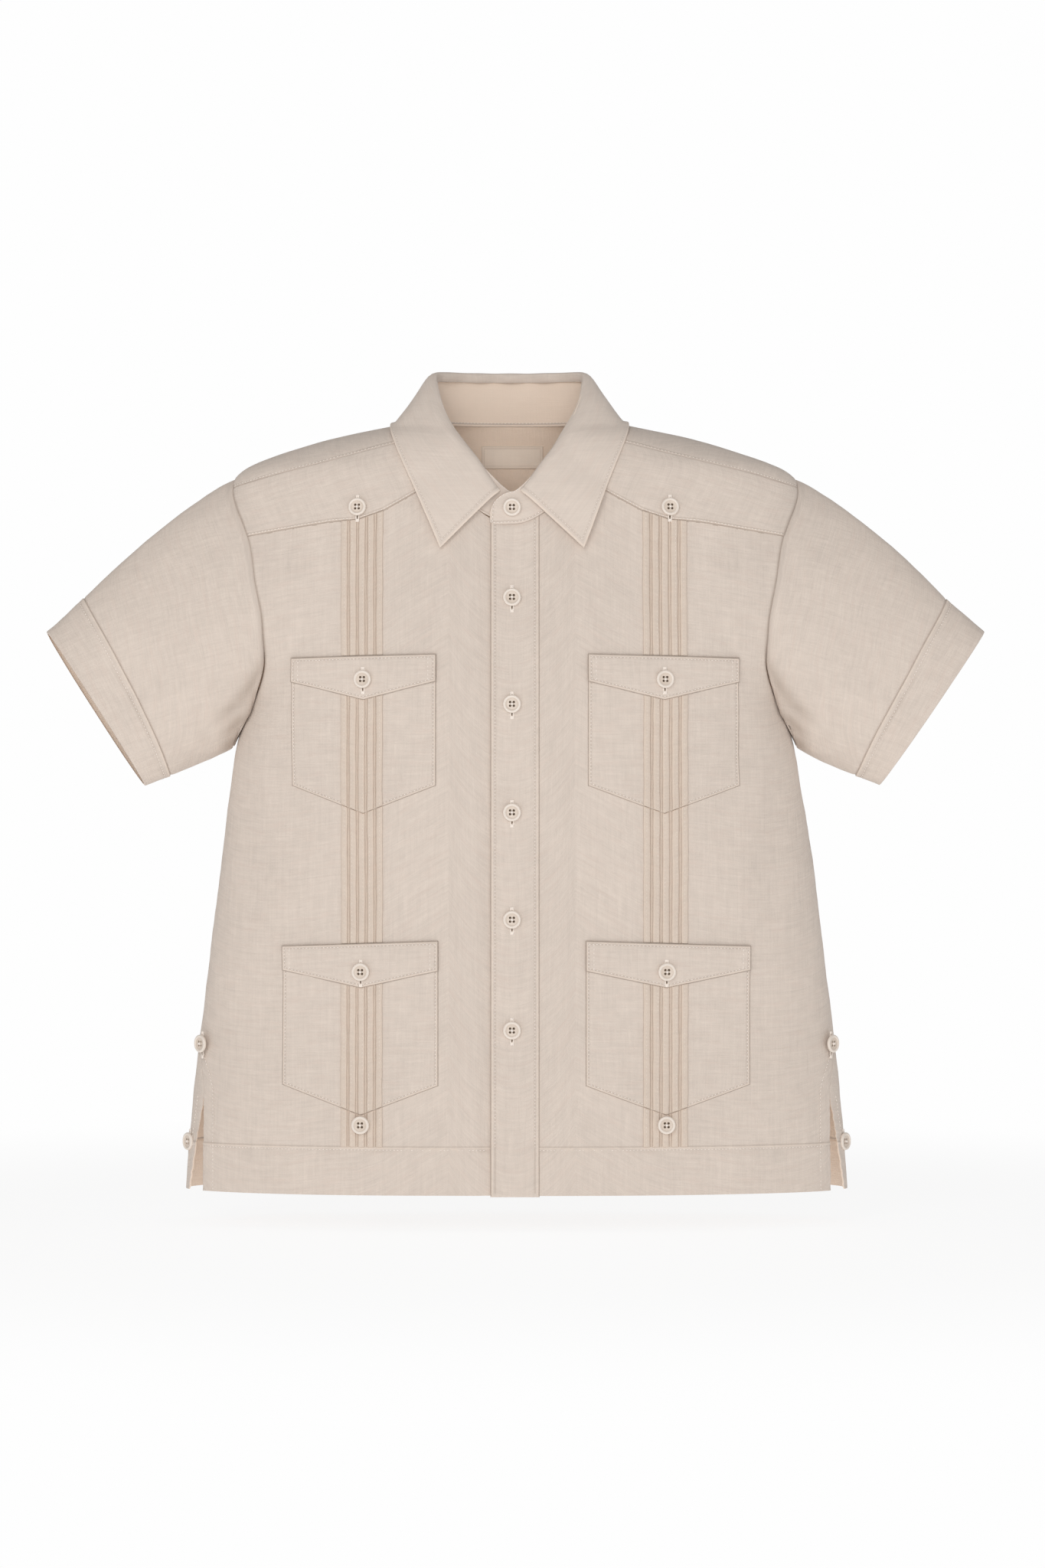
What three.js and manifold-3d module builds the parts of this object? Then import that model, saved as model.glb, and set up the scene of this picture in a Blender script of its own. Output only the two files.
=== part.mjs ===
// A boy's short-sleeved guayabera shirt, filled out as if worn, with nobody in it.
// Millimetres, +Z up. The front faces -Y and the wearer's left is +X. The origin is the middle of the
// neck at the height where the shoulders carry the shirt.
import * as THREE from "three";
import { mergeVertices } from "three/addons/utils/BufferGeometryUtils.js";
import Module from "manifold-3d";

const wasm = await Module();
wasm.setup();

// ---------------------------------------------------------------- driving sizes
const CLOTH = 1.2; // wall of a single cloth panel
const PATCH = 1.0; // wall of a pocket, flap or strip that lies on a panel
const LEAF = 1.5; // wall of the interlined collar leaf
const GAP = 0.3; // clearance between neighbouring pieces
const PATCH_GAP = 0.45; // clearance under a piece that lies flat on a curved panel
const END_GAP = 0.9; // clearance where a pointed edge meets another piece's edge
const HEM_Z = -490.5;
const BODY_POWER = 2.5; // how square the body's plan section is
const DEG = Math.PI / 180;

// The body's half width and its depth to the front and to the back at each height.
const BODY = [
  { z: 6, half: 40, front: 20, back: 36 },
  { z: 0, half: 54, front: 27, back: 38 },
  { z: -5, half: 80, front: 32, back: 40 },
  { z: -12, half: 113, front: 38, back: 43 },
  { z: -21, half: 144, front: 42, back: 46 },
  { z: -32, half: 172, front: 45, back: 49 },
  { z: -45, half: 183, front: 47, back: 52 },
  { z: -74, half: 190, front: 51, back: 57 },
  { z: -105, half: 196, front: 56, back: 61 },
  { z: -135, half: 187, front: 60, back: 62 },
  { z: -160, half: 174, front: 62, back: 62 },
  { z: -180, half: 171, front: 63, back: 61 },
  { z: -207, half: 178, front: 63, back: 60 },
  { z: -245, half: 184, front: 63, back: 59 },
  { z: -304, half: 192, front: 62, back: 58 },
  { z: -363, half: 199, front: 62, back: 59 },
  { z: -421, half: 206, front: 62, back: 60 },
  { z: -498, half: 212, front: 62, back: 61 },
];

// Long soft folds that deepen down the body: where round it, how wide, how deep at the hem, where each starts.
const FOLDS = [
  { at: 118, wide: 9, deep: -4.0, from: -190 },
  { at: 138, wide: 8, deep: 4.5, from: -120 },
  { at: 160, wide: 9, deep: -3.5, from: -150 },
  { at: 181, wide: 10, deep: 3.0, from: -210 },
  { at: 203, wide: 9, deep: -4.5, from: -130 },
  { at: 224, wide: 8, deep: 4.0, from: -170 },
  { at: 243, wide: 9, deep: -3.5, from: -230 },
];

// The shirt hangs a little towards the wearer's left, away from the placket: at the shoulders and at the hem.
const DRIFT_TOP = 2;
const DRIFT_HEM = 2.9;

// The side seam leaves the silhouette above the vent and comes forward to it.
const VENT_TOP_Z = -431;
const SEAM_TURNS_Z = -376;
const VENT_X = 199.3; // the front panel's vent edge
const VENT_SPREAD = 11; // degrees that the back panel's edge stands off the front's at the hem

// The armhole loop, as steps round the sleeve: 0 is its top, and the front comes first.
const ARM_TOP_Z = -37;
const ARM_BOTTOM_Z = -190;
const ARM_FRONT = 33; // degrees that the loop reaches round the body, to the front
const ARM_BACK = 31;
const ARM_POWER = 1.5;
const ARM_STEPS = 30;
const ARM_STEP = 360 / ARM_STEPS;
const SHOULDER_SEAM_STEP = 2; // where the back yoke's front edge meets the armhole
const YOKE_STEP = 5; // where both yokes' lower edges meet it

// The neckline and the collar's fold line, by the angle round the neck: -90 back, 0 side, 90 front.
const NECK_HALF = 54;
const NECK_DROP = 68;
const NECK_POWER = 1.6;
const FOLD_HALF = 48.5;
const FOLD_FRONT = 49;
const FOLD_BACK = 35;
const FOLD_TOP_Z = 34;
const FOLD_SLOPE = 0.92; // mm down for each degree round to the front
const FOLD_SOFT = 12;
const COLLAR_SHIFT = -1.7; // the back of the collar stands a little towards the wearer's right
const SHOULDER_SEAM_NECK = 20;
const YOKE_NECK = 42.7;
const STAND_OVERLAP = 14.4; // degrees that each end of the stand runs past the centre
const LEAF_END = 83;
const STAND_CLEAR = 1.8; // how far the stand's lower edge keeps above the neckline
const LEAF_START = 3.3; // how far outside the fold line the leaf begins
const LEAF_CLEAR = 1.7; // how far the leaf keeps off the shirt

// The front yoke's lower edge and the back yoke's front edge, from the neck outwards.
const YOKE_EDGE = [
  { x: 39.7, z: -36.7 },
  { x: 62, z: -49.3 },
  { x: 81.5, z: -60 },
  { x: 98, z: -65.6 },
  { x: 116, z: -66.8 },
];
const SHOULDER_EDGE = [
  { x: 50.6, z: -12.6 },
  { x: 75, z: -17.4 },
  { x: 116, z: -27.4 },
  { x: 141, z: -33.4 },
];
const BACK_YOKE_Z = -82;
const YOKE_RINGS = 5; // columns of cloth from the neck to the armhole, in both yokes

// Placket, front edges and buttons.
const PLACKET_LEFT = -13.5;
const PLACKET_RIGHT = 17.3;
const UNDERLAP = 13;
const BUTTON_R = 5.7;
const BUTTON_THICK = 2.3;
const FRONT_BUTTON_Z = [-115.3, -182.2, -250, -317.3, -386.7];
const COLLAR_BUTTON_TURN = 180; // round the stand, from the back
const YOKE_BUTTON = { x: 98.5, z: -57.6 };

// Tucks and pockets, for the side at +X.
const TUCK_X = 95.4;
const TUCK_WIDE = 4.2;
const TUCK_PITCH = 5.75;
const TUCK_COUNT = 5;
const TUCK_END_Z = -460.5; // the top of the hem
const POCKETS = [
  {
    name: "chest",
    inner: 47.6,
    outer: 141.5,
    topIn: -150.6,
    topOut: -152.6,
    side: -233.4,
    point: -251.2,
    pointX: 94.5,
    flapSide: -168,
    flapPoint: -179.6,
    buttonZ: -166.5,
  },
  {
    name: "waist",
    inner: 46.2,
    outer: 147.4,
    topIn: -330.6,
    topOut: -334.2,
    side: -421.7,
    point: -440.6,
    pointX: 95.8,
    flapSide: -349.8,
    flapPoint: -360.5,
    buttonZ: -350.3,
  },
];
const POINT_BUTTON_DROP = 5.8; // the waist pocket's second button, below its point

// Sleeve: its hem loop, seen as a flattened ring square to the sleeve's axis.
const CUFF = { x: 267.7, z: -184.2, half: 58.7, deep: 23 };
const CUFF_UP = new THREE.Vector3(0.552, 0, 0.833);
const CUFF_OUT = new THREE.Vector3(0.833, 0, -0.552);
const CUFF_WIDE = 27; // the sewn-on hem band
const CUFF_SHEAR = { left: 0, right: 3 }; // the wearer's right hem shows a sliver of its inside
const BODY_CLEAR = 2.6; // how far the sleeve keeps from the body below the armhole

// Side buttons: height, how far out, how far forward, and how far each turns from the front.
const SIDE_BUTTONS = [
  { name: "upper", x: 200.5, y: -17, z: -397.5, turn: 50 },
  { name: "lower", x: 209, y: -6, z: -460.5, turn: 56 },
];
const LABEL = { wide: 40, high: 14.6, top: -12.5, wall: 0.8, clear: 1 };

// ---------------------------------------------------------------- the body's surface
// Smooth interpolation of one column of a table whose rows run down in z.
function column(table, z, key) {
  const last = table.length - 1;
  if (z >= table[0].z) return table[0][key];
  if (z <= table[last].z) return table[last][key];
  let i = 0;
  while (table[i + 1].z > z) i++;
  const slope = (a, b) => (table[b][key] - table[a][key]) / (table[b].z - table[a].z);
  const tangent = (k) => (k === 0 || k === last ? slope(i, i + 1) : slope(k - 1, k + 1));
  const span = table[i + 1].z - table[i].z;
  const t = (z - table[i].z) / span;
  return hermite(table[i][key], tangent(i) * span, table[i + 1][key], tangent(i + 1) * span, t);
}

function hermite(a, slopeA, b, slopeB, t) {
  const t2 = t * t;
  const t3 = t2 * t;
  return (2 * t3 - 3 * t2 + 1) * a + (t3 - 2 * t2 + t) * slopeA + (3 * t2 - 2 * t3) * b + (t3 - t2) * slopeB;
}

function smooth(edge0, edge1, value) {
  const t = THREE.MathUtils.clamp((value - edge0) / (edge1 - edge0), 0, 1);
  return t * t * (3 - 2 * t);
}

// How far the folds push the cloth out at an angle round the body.
function foldOut(turn, z) {
  const round = (turn + 360) % 360;
  return FOLDS.reduce((sum, f) => {
    const down = smooth(f.from, HEM_Z, z);
    return sum + f.deep * down * Math.exp(-(((round - f.at) / f.wide) ** 2));
  }, 0);
}

// How far the cloth hangs over to +X, by its share of the way out from the centre.
function drift(share, z) {
  const amount = DRIFT_TOP * smooth(-20, ARM_TOP_Z, z) + (DRIFT_HEM - DRIFT_TOP) * smooth(ARM_BOTTOM_Z, -300, z);
  return amount * smooth(0.25, 0.8, Math.abs(share));
}

// A point of the outer surface. turn is in degrees from the centre front, + towards +X, 180 at the back.
function body(turn, z) {
  const s = Math.sin(turn * DEG);
  const toBack = Math.cos(turn * DEG) < 0;
  const half = column(BODY, z, "half");
  const deep = column(BODY, z, toBack ? "back" : "front");
  const share = Math.sqrt(Math.max(0, 1 - Math.abs(s) ** BODY_POWER));
  const y = (toBack ? deep : -deep) * share + foldOut(turn, z) * share;
  return new THREE.Vector3(half * s + drift(s, z), y, z);
}

function bodyNormal(turn, z) {
  const step = 0.4;
  const sideways = body(turn + step, z).sub(body(turn - step, z));
  const up = body(turn, z + step).sub(body(turn, z - step));
  return sideways.cross(up).normalize();
}

// The same surface moved out along its normal.
function lifted(turn, z, lift) {
  return body(turn, z).addScaledVector(bodyNormal(turn, z), lift);
}

// Where a pattern point is across the body before the drift, and back again.
const across = (turn, z) => column(BODY, z, "half") * Math.sin(turn * DEG);
const turnAt = (x, z) => Math.asin(THREE.MathUtils.clamp(x / column(BODY, z, "half"), -1, 1)) / DEG;
const onFront = (x, z, lift) => lifted(turnAt(x, z), z, lift);

// ---------------------------------------------------------------- seams
// A point of the armhole loop as {turn, z}, for the +X side. Steps past half way are at the back.
function armhole(step) {
  const angle = step * ARM_STEP * DEG;
  const z = ARM_TOP_Z + ((ARM_BOTTOM_Z - ARM_TOP_Z) * (1 - Math.cos(angle))) / 2;
  const reach = Math.abs(Math.sin(angle)) ** ARM_POWER;
  return { turn: Math.sin(angle) >= 0 ? 90 - ARM_FRONT * reach : 90 + ARM_BACK * reach, z };
}

// The neckline as {turn, z}. round is -90 at the back, 0 at the side and 90 at the front.
function neckline(round) {
  const forward = Math.max(0, Math.sin(round * DEG));
  const z = -NECK_DROP * forward ** NECK_POWER;
  const turn = turnAt(NECK_HALF * Math.cos(round * DEG), z);
  return { turn: round < 0 ? 180 - turn : turn, z };
}

// The height of the neckline over a front x, and of an edge table.
function necklineZ(x) {
  return -NECK_DROP * Math.sqrt(Math.max(0, 1 - (x / NECK_HALF) ** 2)) ** NECK_POWER;
}
function edgeZ(edge, end, x) {
  const rows = [...edge, end];
  let i = 0;
  while (i < rows.length - 2 && rows[i + 1].x < x) i++;
  return rows[i].z + ((rows[i + 1].z - rows[i].z) * (x - rows[i].x)) / (rows[i + 1].x - rows[i].x);
}
const armPoint = (step) => {
  const a = armhole(step);
  return { x: across(a.turn, a.z), z: a.z };
};
const yokeEdgeZ = (x) => edgeZ(YOKE_EDGE, armPoint(YOKE_STEP), x);
const shoulderEdgeZ = (x) => edgeZ(SHOULDER_EDGE, armPoint(SHOULDER_SEAM_STEP), x);
const frontTopZ = (x) => (x < YOKE_EDGE[0].x ? necklineZ(x) : yokeEdgeZ(x));

// The turn of the side seam; below the vent's top the back panel's edge stands off it.
function seamTurn(z, isBack) {
  const atVent = turnAt(VENT_X, VENT_TOP_Z);
  const front = z < VENT_TOP_Z ? turnAt(VENT_X, z) : 90 + (atVent - 90) * smooth(SEAM_TURNS_Z, VENT_TOP_Z, z);
  const open = isBack ? VENT_SPREAD * THREE.MathUtils.clamp((VENT_TOP_Z - z) / (VENT_TOP_Z - HEM_Z), 0, 1) : 0;
  return front + open;
}

// ---------------------------------------------------------------- making walls
// Closes an outer and an inner grid of points into one solid. around joins the last column to the first.
function closeGrids(outer, inner, around = false) {
  const rows = outer.length;
  const cols = outer[0].length;
  const points = [...outer.flat(), ...inner.flat()];
  const at = (layer, r, c) => layer * rows * cols + r * cols + (c % cols);
  const faces = [];
  const quad = (a, b, c, d) => faces.push(a, b, c, a, c, d);
  const lastCol = around ? cols : cols - 1;
  for (let r = 0; r < rows - 1; r++)
    for (let c = 0; c < lastCol; c++) {
      quad(at(0, r, c), at(0, r + 1, c), at(0, r + 1, c + 1), at(0, r, c + 1));
      quad(at(1, r, c), at(1, r, c + 1), at(1, r + 1, c + 1), at(1, r + 1, c));
    }
  for (let c = 0; c < lastCol; c++) {
    quad(at(0, 0, c), at(0, 0, c + 1), at(1, 0, c + 1), at(1, 0, c));
    quad(at(0, rows - 1, c), at(1, rows - 1, c), at(1, rows - 1, c + 1), at(0, rows - 1, c + 1));
  }
  if (!around)
    for (let r = 0; r < rows - 1; r++) {
      quad(at(0, r, 0), at(1, r, 0), at(1, r + 1, 0), at(0, r + 1, 0));
      quad(at(0, r, cols - 1), at(0, r + 1, cols - 1), at(1, r + 1, cols - 1), at(1, r, cols - 1));
    }
  const geometry = new THREE.BufferGeometry().setFromPoints(points);
  geometry.setIndex(faces);
  return facingOut(geometry);
}

// Turns a closed geometry's faces round if they point in, and gives it flat-shaded normals.
function facingOut(geometry) {
  const p = geometry.getAttribute("position");
  const index = Array.from(geometry.index.array);
  const v = [0, 1, 2].map(() => new THREE.Vector3());
  let volume = 0;
  for (let i = 0; i < index.length; i += 3) {
    v.forEach((corner, k) => corner.fromBufferAttribute(p, index[i + k]));
    volume += v[0].dot(v[1].clone().cross(v[2]));
  }
  if (volume < 0) for (let i = 0; i < index.length; i += 3) [index[i], index[i + 1]] = [index[i + 1], index[i]];
  geometry.setIndex(index);
  const flat = geometry.toNonIndexed();
  flat.computeVertexNormals();
  return flat;
}

// The points of a grid moved along the grid's own normals, towards side.
function offsetGrid(grid, distance, side, around = false) {
  const rows = grid.length;
  const cols = grid[0].length;
  const wrap = (c) => (around ? (c + cols) % cols : THREE.MathUtils.clamp(c, 0, cols - 1));
  return grid.map((row, r) =>
    row.map((point, c) => {
      const along = grid[r][wrap(c + 1)].clone().sub(grid[r][wrap(c - 1)]);
      const down = grid[Math.min(r + 1, rows - 1)][c].clone().sub(grid[Math.max(r - 1, 0)][c]);
      const normal = down.cross(along).normalize();
      return point.clone().addScaledVector(normal, distance * side);
    }),
  );
}

const range = (count) => Array.from({ length: count }, (_, i) => i);
const shares = (steps) => range(steps + 1).map((i) => i / steps);
const lerp = (a, b, t) => a + (b - a) * t;
const mix = (a, b, t) => ({ turn: lerp(a.turn, b.turn, t), z: lerp(a.z, b.z, t) });

// Fills four edges in {turn, z} with rows and columns. top and bottom run across, left and right run down.
function coons(top, bottom, left, right) {
  const rows = left.length - 1;
  const cols = top.length - 1;
  return range(rows + 1).map((r) => {
    const v = r / rows;
    return range(cols + 1).map((c) => {
      const u = c / cols;
      const value = (key) =>
        lerp(top[c][key], bottom[c][key], v) +
        lerp(left[r][key], right[r][key], u) -
        lerp(lerp(top[0][key], top[cols][key], u), lerp(bottom[0][key], bottom[cols][key], u), v);
      return { turn: value("turn"), z: value("z") };
    });
  });
}

// A panel of cloth on the body from a grid of {turn, z}, with its inner face lift lower.
function panel(grid, lift = () => 0, wall = CLOTH) {
  const outer = grid.map((row) => row.map((p) => lifted(p.turn, p.z, lift(p))));
  const inner = grid.map((row) => row.map((p) => lifted(p.turn, p.z, lift(p) - wall)));
  return closeGrids(outer, inner);
}

// A patch on the front: its columns' x, its top and bottom edges as functions of x, and its lift.
function patch({ xs, top, bottom, rows, from, wall }) {
  const layer = (lift) =>
    shares(rows).map((v) => xs.map((x) => onFront(x, lerp(top(x), bottom(x), v), lift)));
  return closeGrids(layer(from + wall), layer(from));
}

// ---------------------------------------------------------------- the group
const shirt = new THREE.Group();
const finish = (color, roughness) => new THREE.MeshStandardMaterial({ color, roughness, metalness: 0 });
const MATERIALS = {
  cloth: finish(0xd8cbc0, 0.9),
  tuck: finish(0xd5c5b8, 0.9),
  button: finish(0xdccdc0, 0.35),
  label: finish(0xc4b09d, 0.7),
};
function add(name, geometry, material = "cloth") {
  const mesh = new THREE.Mesh(geometry, MATERIALS[material]);
  mesh.name = name;
  shirt.add(mesh);
  return mesh;
}
const SIDES = [
  { name: "left", sign: 1 },
  { name: "right", sign: -1 },
];
const mirrored = (grid, sign) => grid.map((row) => row.map((p) => ({ turn: p.turn * sign, z: p.z })));
const inset = (p, turn, z) => ({ turn: p.turn + turn, z: p.z + z });

// ---------------------------------------------------------------- body panels
const SIDE_ROWS = 8;
const FRONT_COLUMNS = [2, 9.6, 17.3, 24.6, 32, 39.7, 47, 63, 79, 95, 111, 127, 143];
const EDGE_COLUMNS = 2; // columns between the last of those and the panel's outer edge
const sideZs = shares(SIDE_ROWS).map((v) => lerp(ARM_BOTTOM_Z, HEM_Z, v)).slice(1);
const SEAM_TURN = 0.08; // degrees that keep two panels GAP apart at a seam that runs down

// The outer edge of a front or back panel, from the yoke down the armhole and the side seam.
function outerEdge(isBack) {
  const half = ARM_STEPS / 2;
  const steps = range(half - YOKE_STEP + 1).map((i) => YOKE_STEP + i);
  const arm = steps.map((s) => armhole(isBack ? ARM_STEPS - s : s));
  const side = sideZs.map((z) => ({ turn: seamTurn(z, isBack) + (isBack ? 2 * SEAM_TURN : -2 * SEAM_TURN), z }));
  return [...arm, ...side];
}

function frontPanel({ name, sign }) {
  const overlap = sign > 0 ? -PLACKET_LEFT : UNDERLAP;
  const edge = outerEdge(false);
  const fixed = FRONT_COLUMNS.length;
  // The wearer's right front passes under the other one at the centre.
  const under = (p) => (sign > 0 ? 0 : -(CLOTH + GAP) * (1 - smooth(15, 24, across(p.turn, p.z))));
  const grid = edge.map((corner, r) => {
    const share = (corner.z - HEM_Z) / (edge[0].z - HEM_Z);
    const edgeX = across(corner.turn, corner.z);
    const xs = [-overlap, ...FRONT_COLUMNS];
    range(EDGE_COLUMNS).forEach((i) => xs.push(lerp(FRONT_COLUMNS[fixed - 1], edgeX, (i + 1) / (EDGE_COLUMNS + 1))));
    const row = xs.map((x) => {
      const top = frontTopZ(Math.abs(x)) - GAP;
      const z = corner.z + (top - edge[0].z) * share;
      return { turn: turnAt(x, z), z };
    });
    return [...row, corner];
  });
  add(`front_${name}`, panel(mirrored(grid, sign), under));
}

function backPanel() {
  const half = outerEdge(true);
  const cols = 18;
  const rows = half.length - 1;
  const leftEdge = half.map((p) => ({ turn: p.turn, z: p.z }));
  const rightEdge = half.map((p) => ({ turn: 360 - p.turn, z: p.z }));
  const sweep = (z, edge) =>
    shares(cols).map((u) => ({ turn: lerp(edge.turn, 360 - edge.turn, u), z: z(u) }));
  const corner = half[0];
  const top = sweep((u) => lerp(corner.z, BACK_YOKE_Z, Math.sin(Math.PI * u)) - GAP, corner);
  top[0] = leftEdge[0];
  top[cols] = rightEdge[0];
  add("back", panel(coons(top, sweep(() => HEM_Z, half[rows]), leftEdge, rightEdge)));
}

function frontYoke({ name, sign }) {
  const cols = YOKE_RINGS;
  const neckSteps = YOKE_STEP - SHOULDER_SEAM_STEP;
  const left = shares(neckSteps).map((v) => neckline(lerp(SHOULDER_SEAM_NECK, YOKE_NECK, v)));
  const right = range(neckSteps + 1).map((i) => armhole(SHOULDER_SEAM_STEP + i));
  const seam = (edge, from, to, drop) =>
    shares(cols).map((u) => {
      const x = lerp(across(from.turn, from.z), across(to.turn, to.z), u);
      const z = edge(x) + drop;
      return { turn: turnAt(x, z), z };
    });
  const top = seam(shoulderEdgeZ, left[0], right[0], -END_GAP);
  const bottom = seam(yokeEdgeZ, left[neckSteps], right[neckSteps], END_GAP);
  [left[0], right[0]] = [top[0], top[cols]];
  [left[neckSteps], right[neckSteps]] = [bottom[0], bottom[cols]];
  const grid = coons(top, bottom, left, right);
  add(`front_yoke_${name}`, panel(mirrored(grid, sign)));
}

// One piece over both shoulders and round the back of the neck, in spokes from the neckline outwards.
function backYoke() {
  const frontSpokes = SHOULDER_SEAM_STEP;
  const armSpokes = YOKE_STEP;
  const backSpokes = 7;
  const outer = [];
  range(frontSpokes).forEach((i) => outer.push(armhole(frontSpokes - i)));
  range(armSpokes).forEach((i) => outer.push(armhole((ARM_STEPS - i) % ARM_STEPS)));
  const corner = armhole(ARM_STEPS - armSpokes);
  shares(backSpokes).forEach((u) => {
    const z = lerp(corner.z, BACK_YOKE_Z, Math.sin((Math.PI / 2) * u));
    outer.push({ turn: lerp(corner.turn, 180, u), z });
  });
  const count = outer.length - 1;
  const inner = outer.map((_, i) => {
    const round =
      i <= frontSpokes
        ? lerp(SHOULDER_SEAM_NECK, 0, (i / frontSpokes) ** 0.6)
        : lerp(0, -90, (i - frontSpokes) / (count - frontSpokes));
    return neckline(round);
  });
  const rings = YOKE_RINGS;
  const half = shares(rings).map((v) => inner.map((p, i) => mix(p, outer[i], v)));
  // The front edge follows the seam's own line.
  half.forEach((row, r) => {
    if (r === 0 || r === rings) return;
    const x = lerp(NECK_HALF * Math.cos(SHOULDER_SEAM_NECK * DEG), armPoint(SHOULDER_SEAM_STEP).x, r / rings);
    const z = shoulderEdgeZ(x);
    row[0] = { turn: turnAt(x, z), z };
  });
  const other = half.map((row) => row.slice(0, -1).map((p) => ({ turn: 360 - p.turn, z: p.z })));
  const grid = half.map((row, r) => [...row, ...other[r].reverse()]);
  add("back_yoke", panel(grid));
}

function placket() {
  const steps = 18;
  add(
    "placket",
    patch({
      xs: [PLACKET_LEFT, ...FRONT_COLUMNS.filter((x) => x <= PLACKET_RIGHT)],
      top: (x) => necklineZ(x) - END_GAP,
      bottom: () => HEM_Z,
      rows: steps,
      from: GAP,
      wall: CLOTH,
    }),
  );
}

// ---------------------------------------------------------------- tucks, pockets and flaps
// A strip of standing tucks between two heights, on the front or on a pocket.
function tuckStrip(name, sign, topZ, bottomZ, from, rows) {
  const width = (TUCK_COUNT - 1) * TUCK_PITCH + TUCK_WIDE;
  const start = TUCK_X - width / 2;
  const profile = [];
  range(TUCK_COUNT).forEach((i) => {
    const x = start + i * TUCK_PITCH;
    profile.push({ x: x, out: PATCH });
    profile.push({ x: x + TUCK_WIDE, out: PATCH });
    if (i < TUCK_COUNT - 1) profile.push({ x: x + TUCK_WIDE + 0.1, out: 0.45 });
    if (i < TUCK_COUNT - 1) profile.push({ x: x + TUCK_PITCH - 0.1, out: 0.45 });
  });
  const layer = (lift) =>
    shares(rows).map((v) =>
      profile.map((p) => onFront(sign * p.x, lerp(topZ(p.x), bottomZ(p.x), v), from + lift(p))),
    );
  const outer = layer((p) => p.out);
  const inner = layer(() => 0);
  add(name, closeGrids(outer, inner), "tuck");
}

const chevron = (p, side, point) => (x) => {
  const reach = x < p.pointX ? (x - p.inner) / (p.pointX - p.inner) : (p.outer - x) / (p.outer - p.pointX);
  return lerp(side, point, THREE.MathUtils.clamp(reach, 0, 1));
};
const topEdge = (p) => (x) => lerp(p.topIn, p.topOut, (x - p.inner) / (p.outer - p.inner));

function pocket({ name, sign }, p) {
  const between = FRONT_COLUMNS.filter((x) => x > p.inner + 1 && x < p.outer - 1);
  const columns = between.map((x) => (Math.abs(x - p.pointX) < 2 ? p.pointX : x));
  const shape = (bottom, from, rows) =>
    patch({
      xs: [p.inner, ...columns, p.outer].map((x) => sign * x),
      top: (x) => topEdge(p)(Math.abs(x)),
      bottom: (x) => bottom(Math.abs(x)),
      rows,
      from,
      wall: PATCH,
    });
  const onPocket = 2 * PATCH_GAP + PATCH;
  add(`pocket_${p.name}_${name}`, shape(chevron(p, p.side, p.point), PATCH_GAP, 4));
  add(`flap_${p.name}_${name}`, shape(chevron(p, p.flapSide, p.flapPoint), onPocket, 1));
  const below = (z, gap) => (x) => z(x) - gap;
  tuckStrip(
    `tucks_${p.name}_pocket_${name}`,
    sign,
    below(chevron(p, p.flapSide, p.flapPoint), END_GAP),
    (x) => chevron(p, p.side, p.point)(x) + END_GAP,
    onPocket,
    2,
  );
}

function frontTucks({ name, sign }) {
  const [chest, waist] = POCKETS;
  const strips = [
    { at: "top", top: yokeEdgeZ, bottom: topEdge(chest), rows: 3 },
    { at: "middle", top: chevron(chest, chest.side, chest.point), bottom: topEdge(waist), rows: 3 },
    { at: "bottom", top: chevron(waist, waist.side, waist.point), bottom: () => TUCK_END_Z, rows: 1 },
  ];
  strips.forEach(({ at, top, bottom, rows }) =>
    tuckStrip(`tucks_${at}_${name}`, sign, (x) => top(x) - END_GAP, (x) => bottom(x) + END_GAP, PATCH_GAP, rows),
  );
}

// ---------------------------------------------------------------- collar
// A point round the stand: turn 0 is the back, 90 the wearer's left side, 180 the front, and past it overlaps.
const roundOf = (turn) => Math.abs(turn) - 90;
function standBase(turn) {
  const side = Math.sign(turn) || 1;
  const round = roundOf(turn);
  const folded = round > 90 ? 180 - round : round;
  const n = neckline(folded);
  const p = body(n.turn, n.z);
  return new THREE.Vector3(round > 90 ? -side * p.x : side * p.x, p.y, p.z);
}
function foldPoint(turn) {
  const side = Math.sign(turn) || 1;
  const round = roundOf(turn);
  const s = Math.sin(round * DEG);
  const y = s > 0 ? -FOLD_FRONT * s : -FOLD_BACK * s;
  const folded = round > 90 ? 180 - round : round;
  const drop = (folded + Math.hypot(folded, FOLD_SOFT)) / 2;
  const x = side * FOLD_HALF * Math.cos(round * DEG) + COLLAR_SHIFT * (1 - smooth(40, 90, round));
  return new THREE.Vector3(x, y, FOLD_TOP_Z - FOLD_SLOPE * drop);
}

// The wearer's left end of the stand laps over the right end.
function lap(turn) {
  const out = (CLOTH + 2 * GAP) * smooth(120, 165, Math.abs(turn));
  return turn > 0 ? out : 0;
}

function collarStand() {
  const end = 180 + STAND_OVERLAP;
  const turns = shares(40).map((u) => lerp(-end, end, u));
  const rows = 2;
  const grid = shares(rows).map((v) =>
    turns.map((turn) => {
      const low = standBase(turn).add(new THREE.Vector3(0, 0, STAND_CLEAR));
      // The ends are rounded off, so the last column is lower.
      const rounded = Math.abs(turn) > end - 2 ? 0.8 : 1;
      const top = foldPoint(turn);
      const point = low.lerp(top, v * rounded * 0.93);
      const away = new THREE.Vector3(point.x, point.y, 0).normalize();
      return point.addScaledVector(away, lap(turn));
    }),
  );
  add("collar_stand", closeGrids(grid, offsetGrid(grid, CLOTH, inwards(grid))));
}

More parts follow.
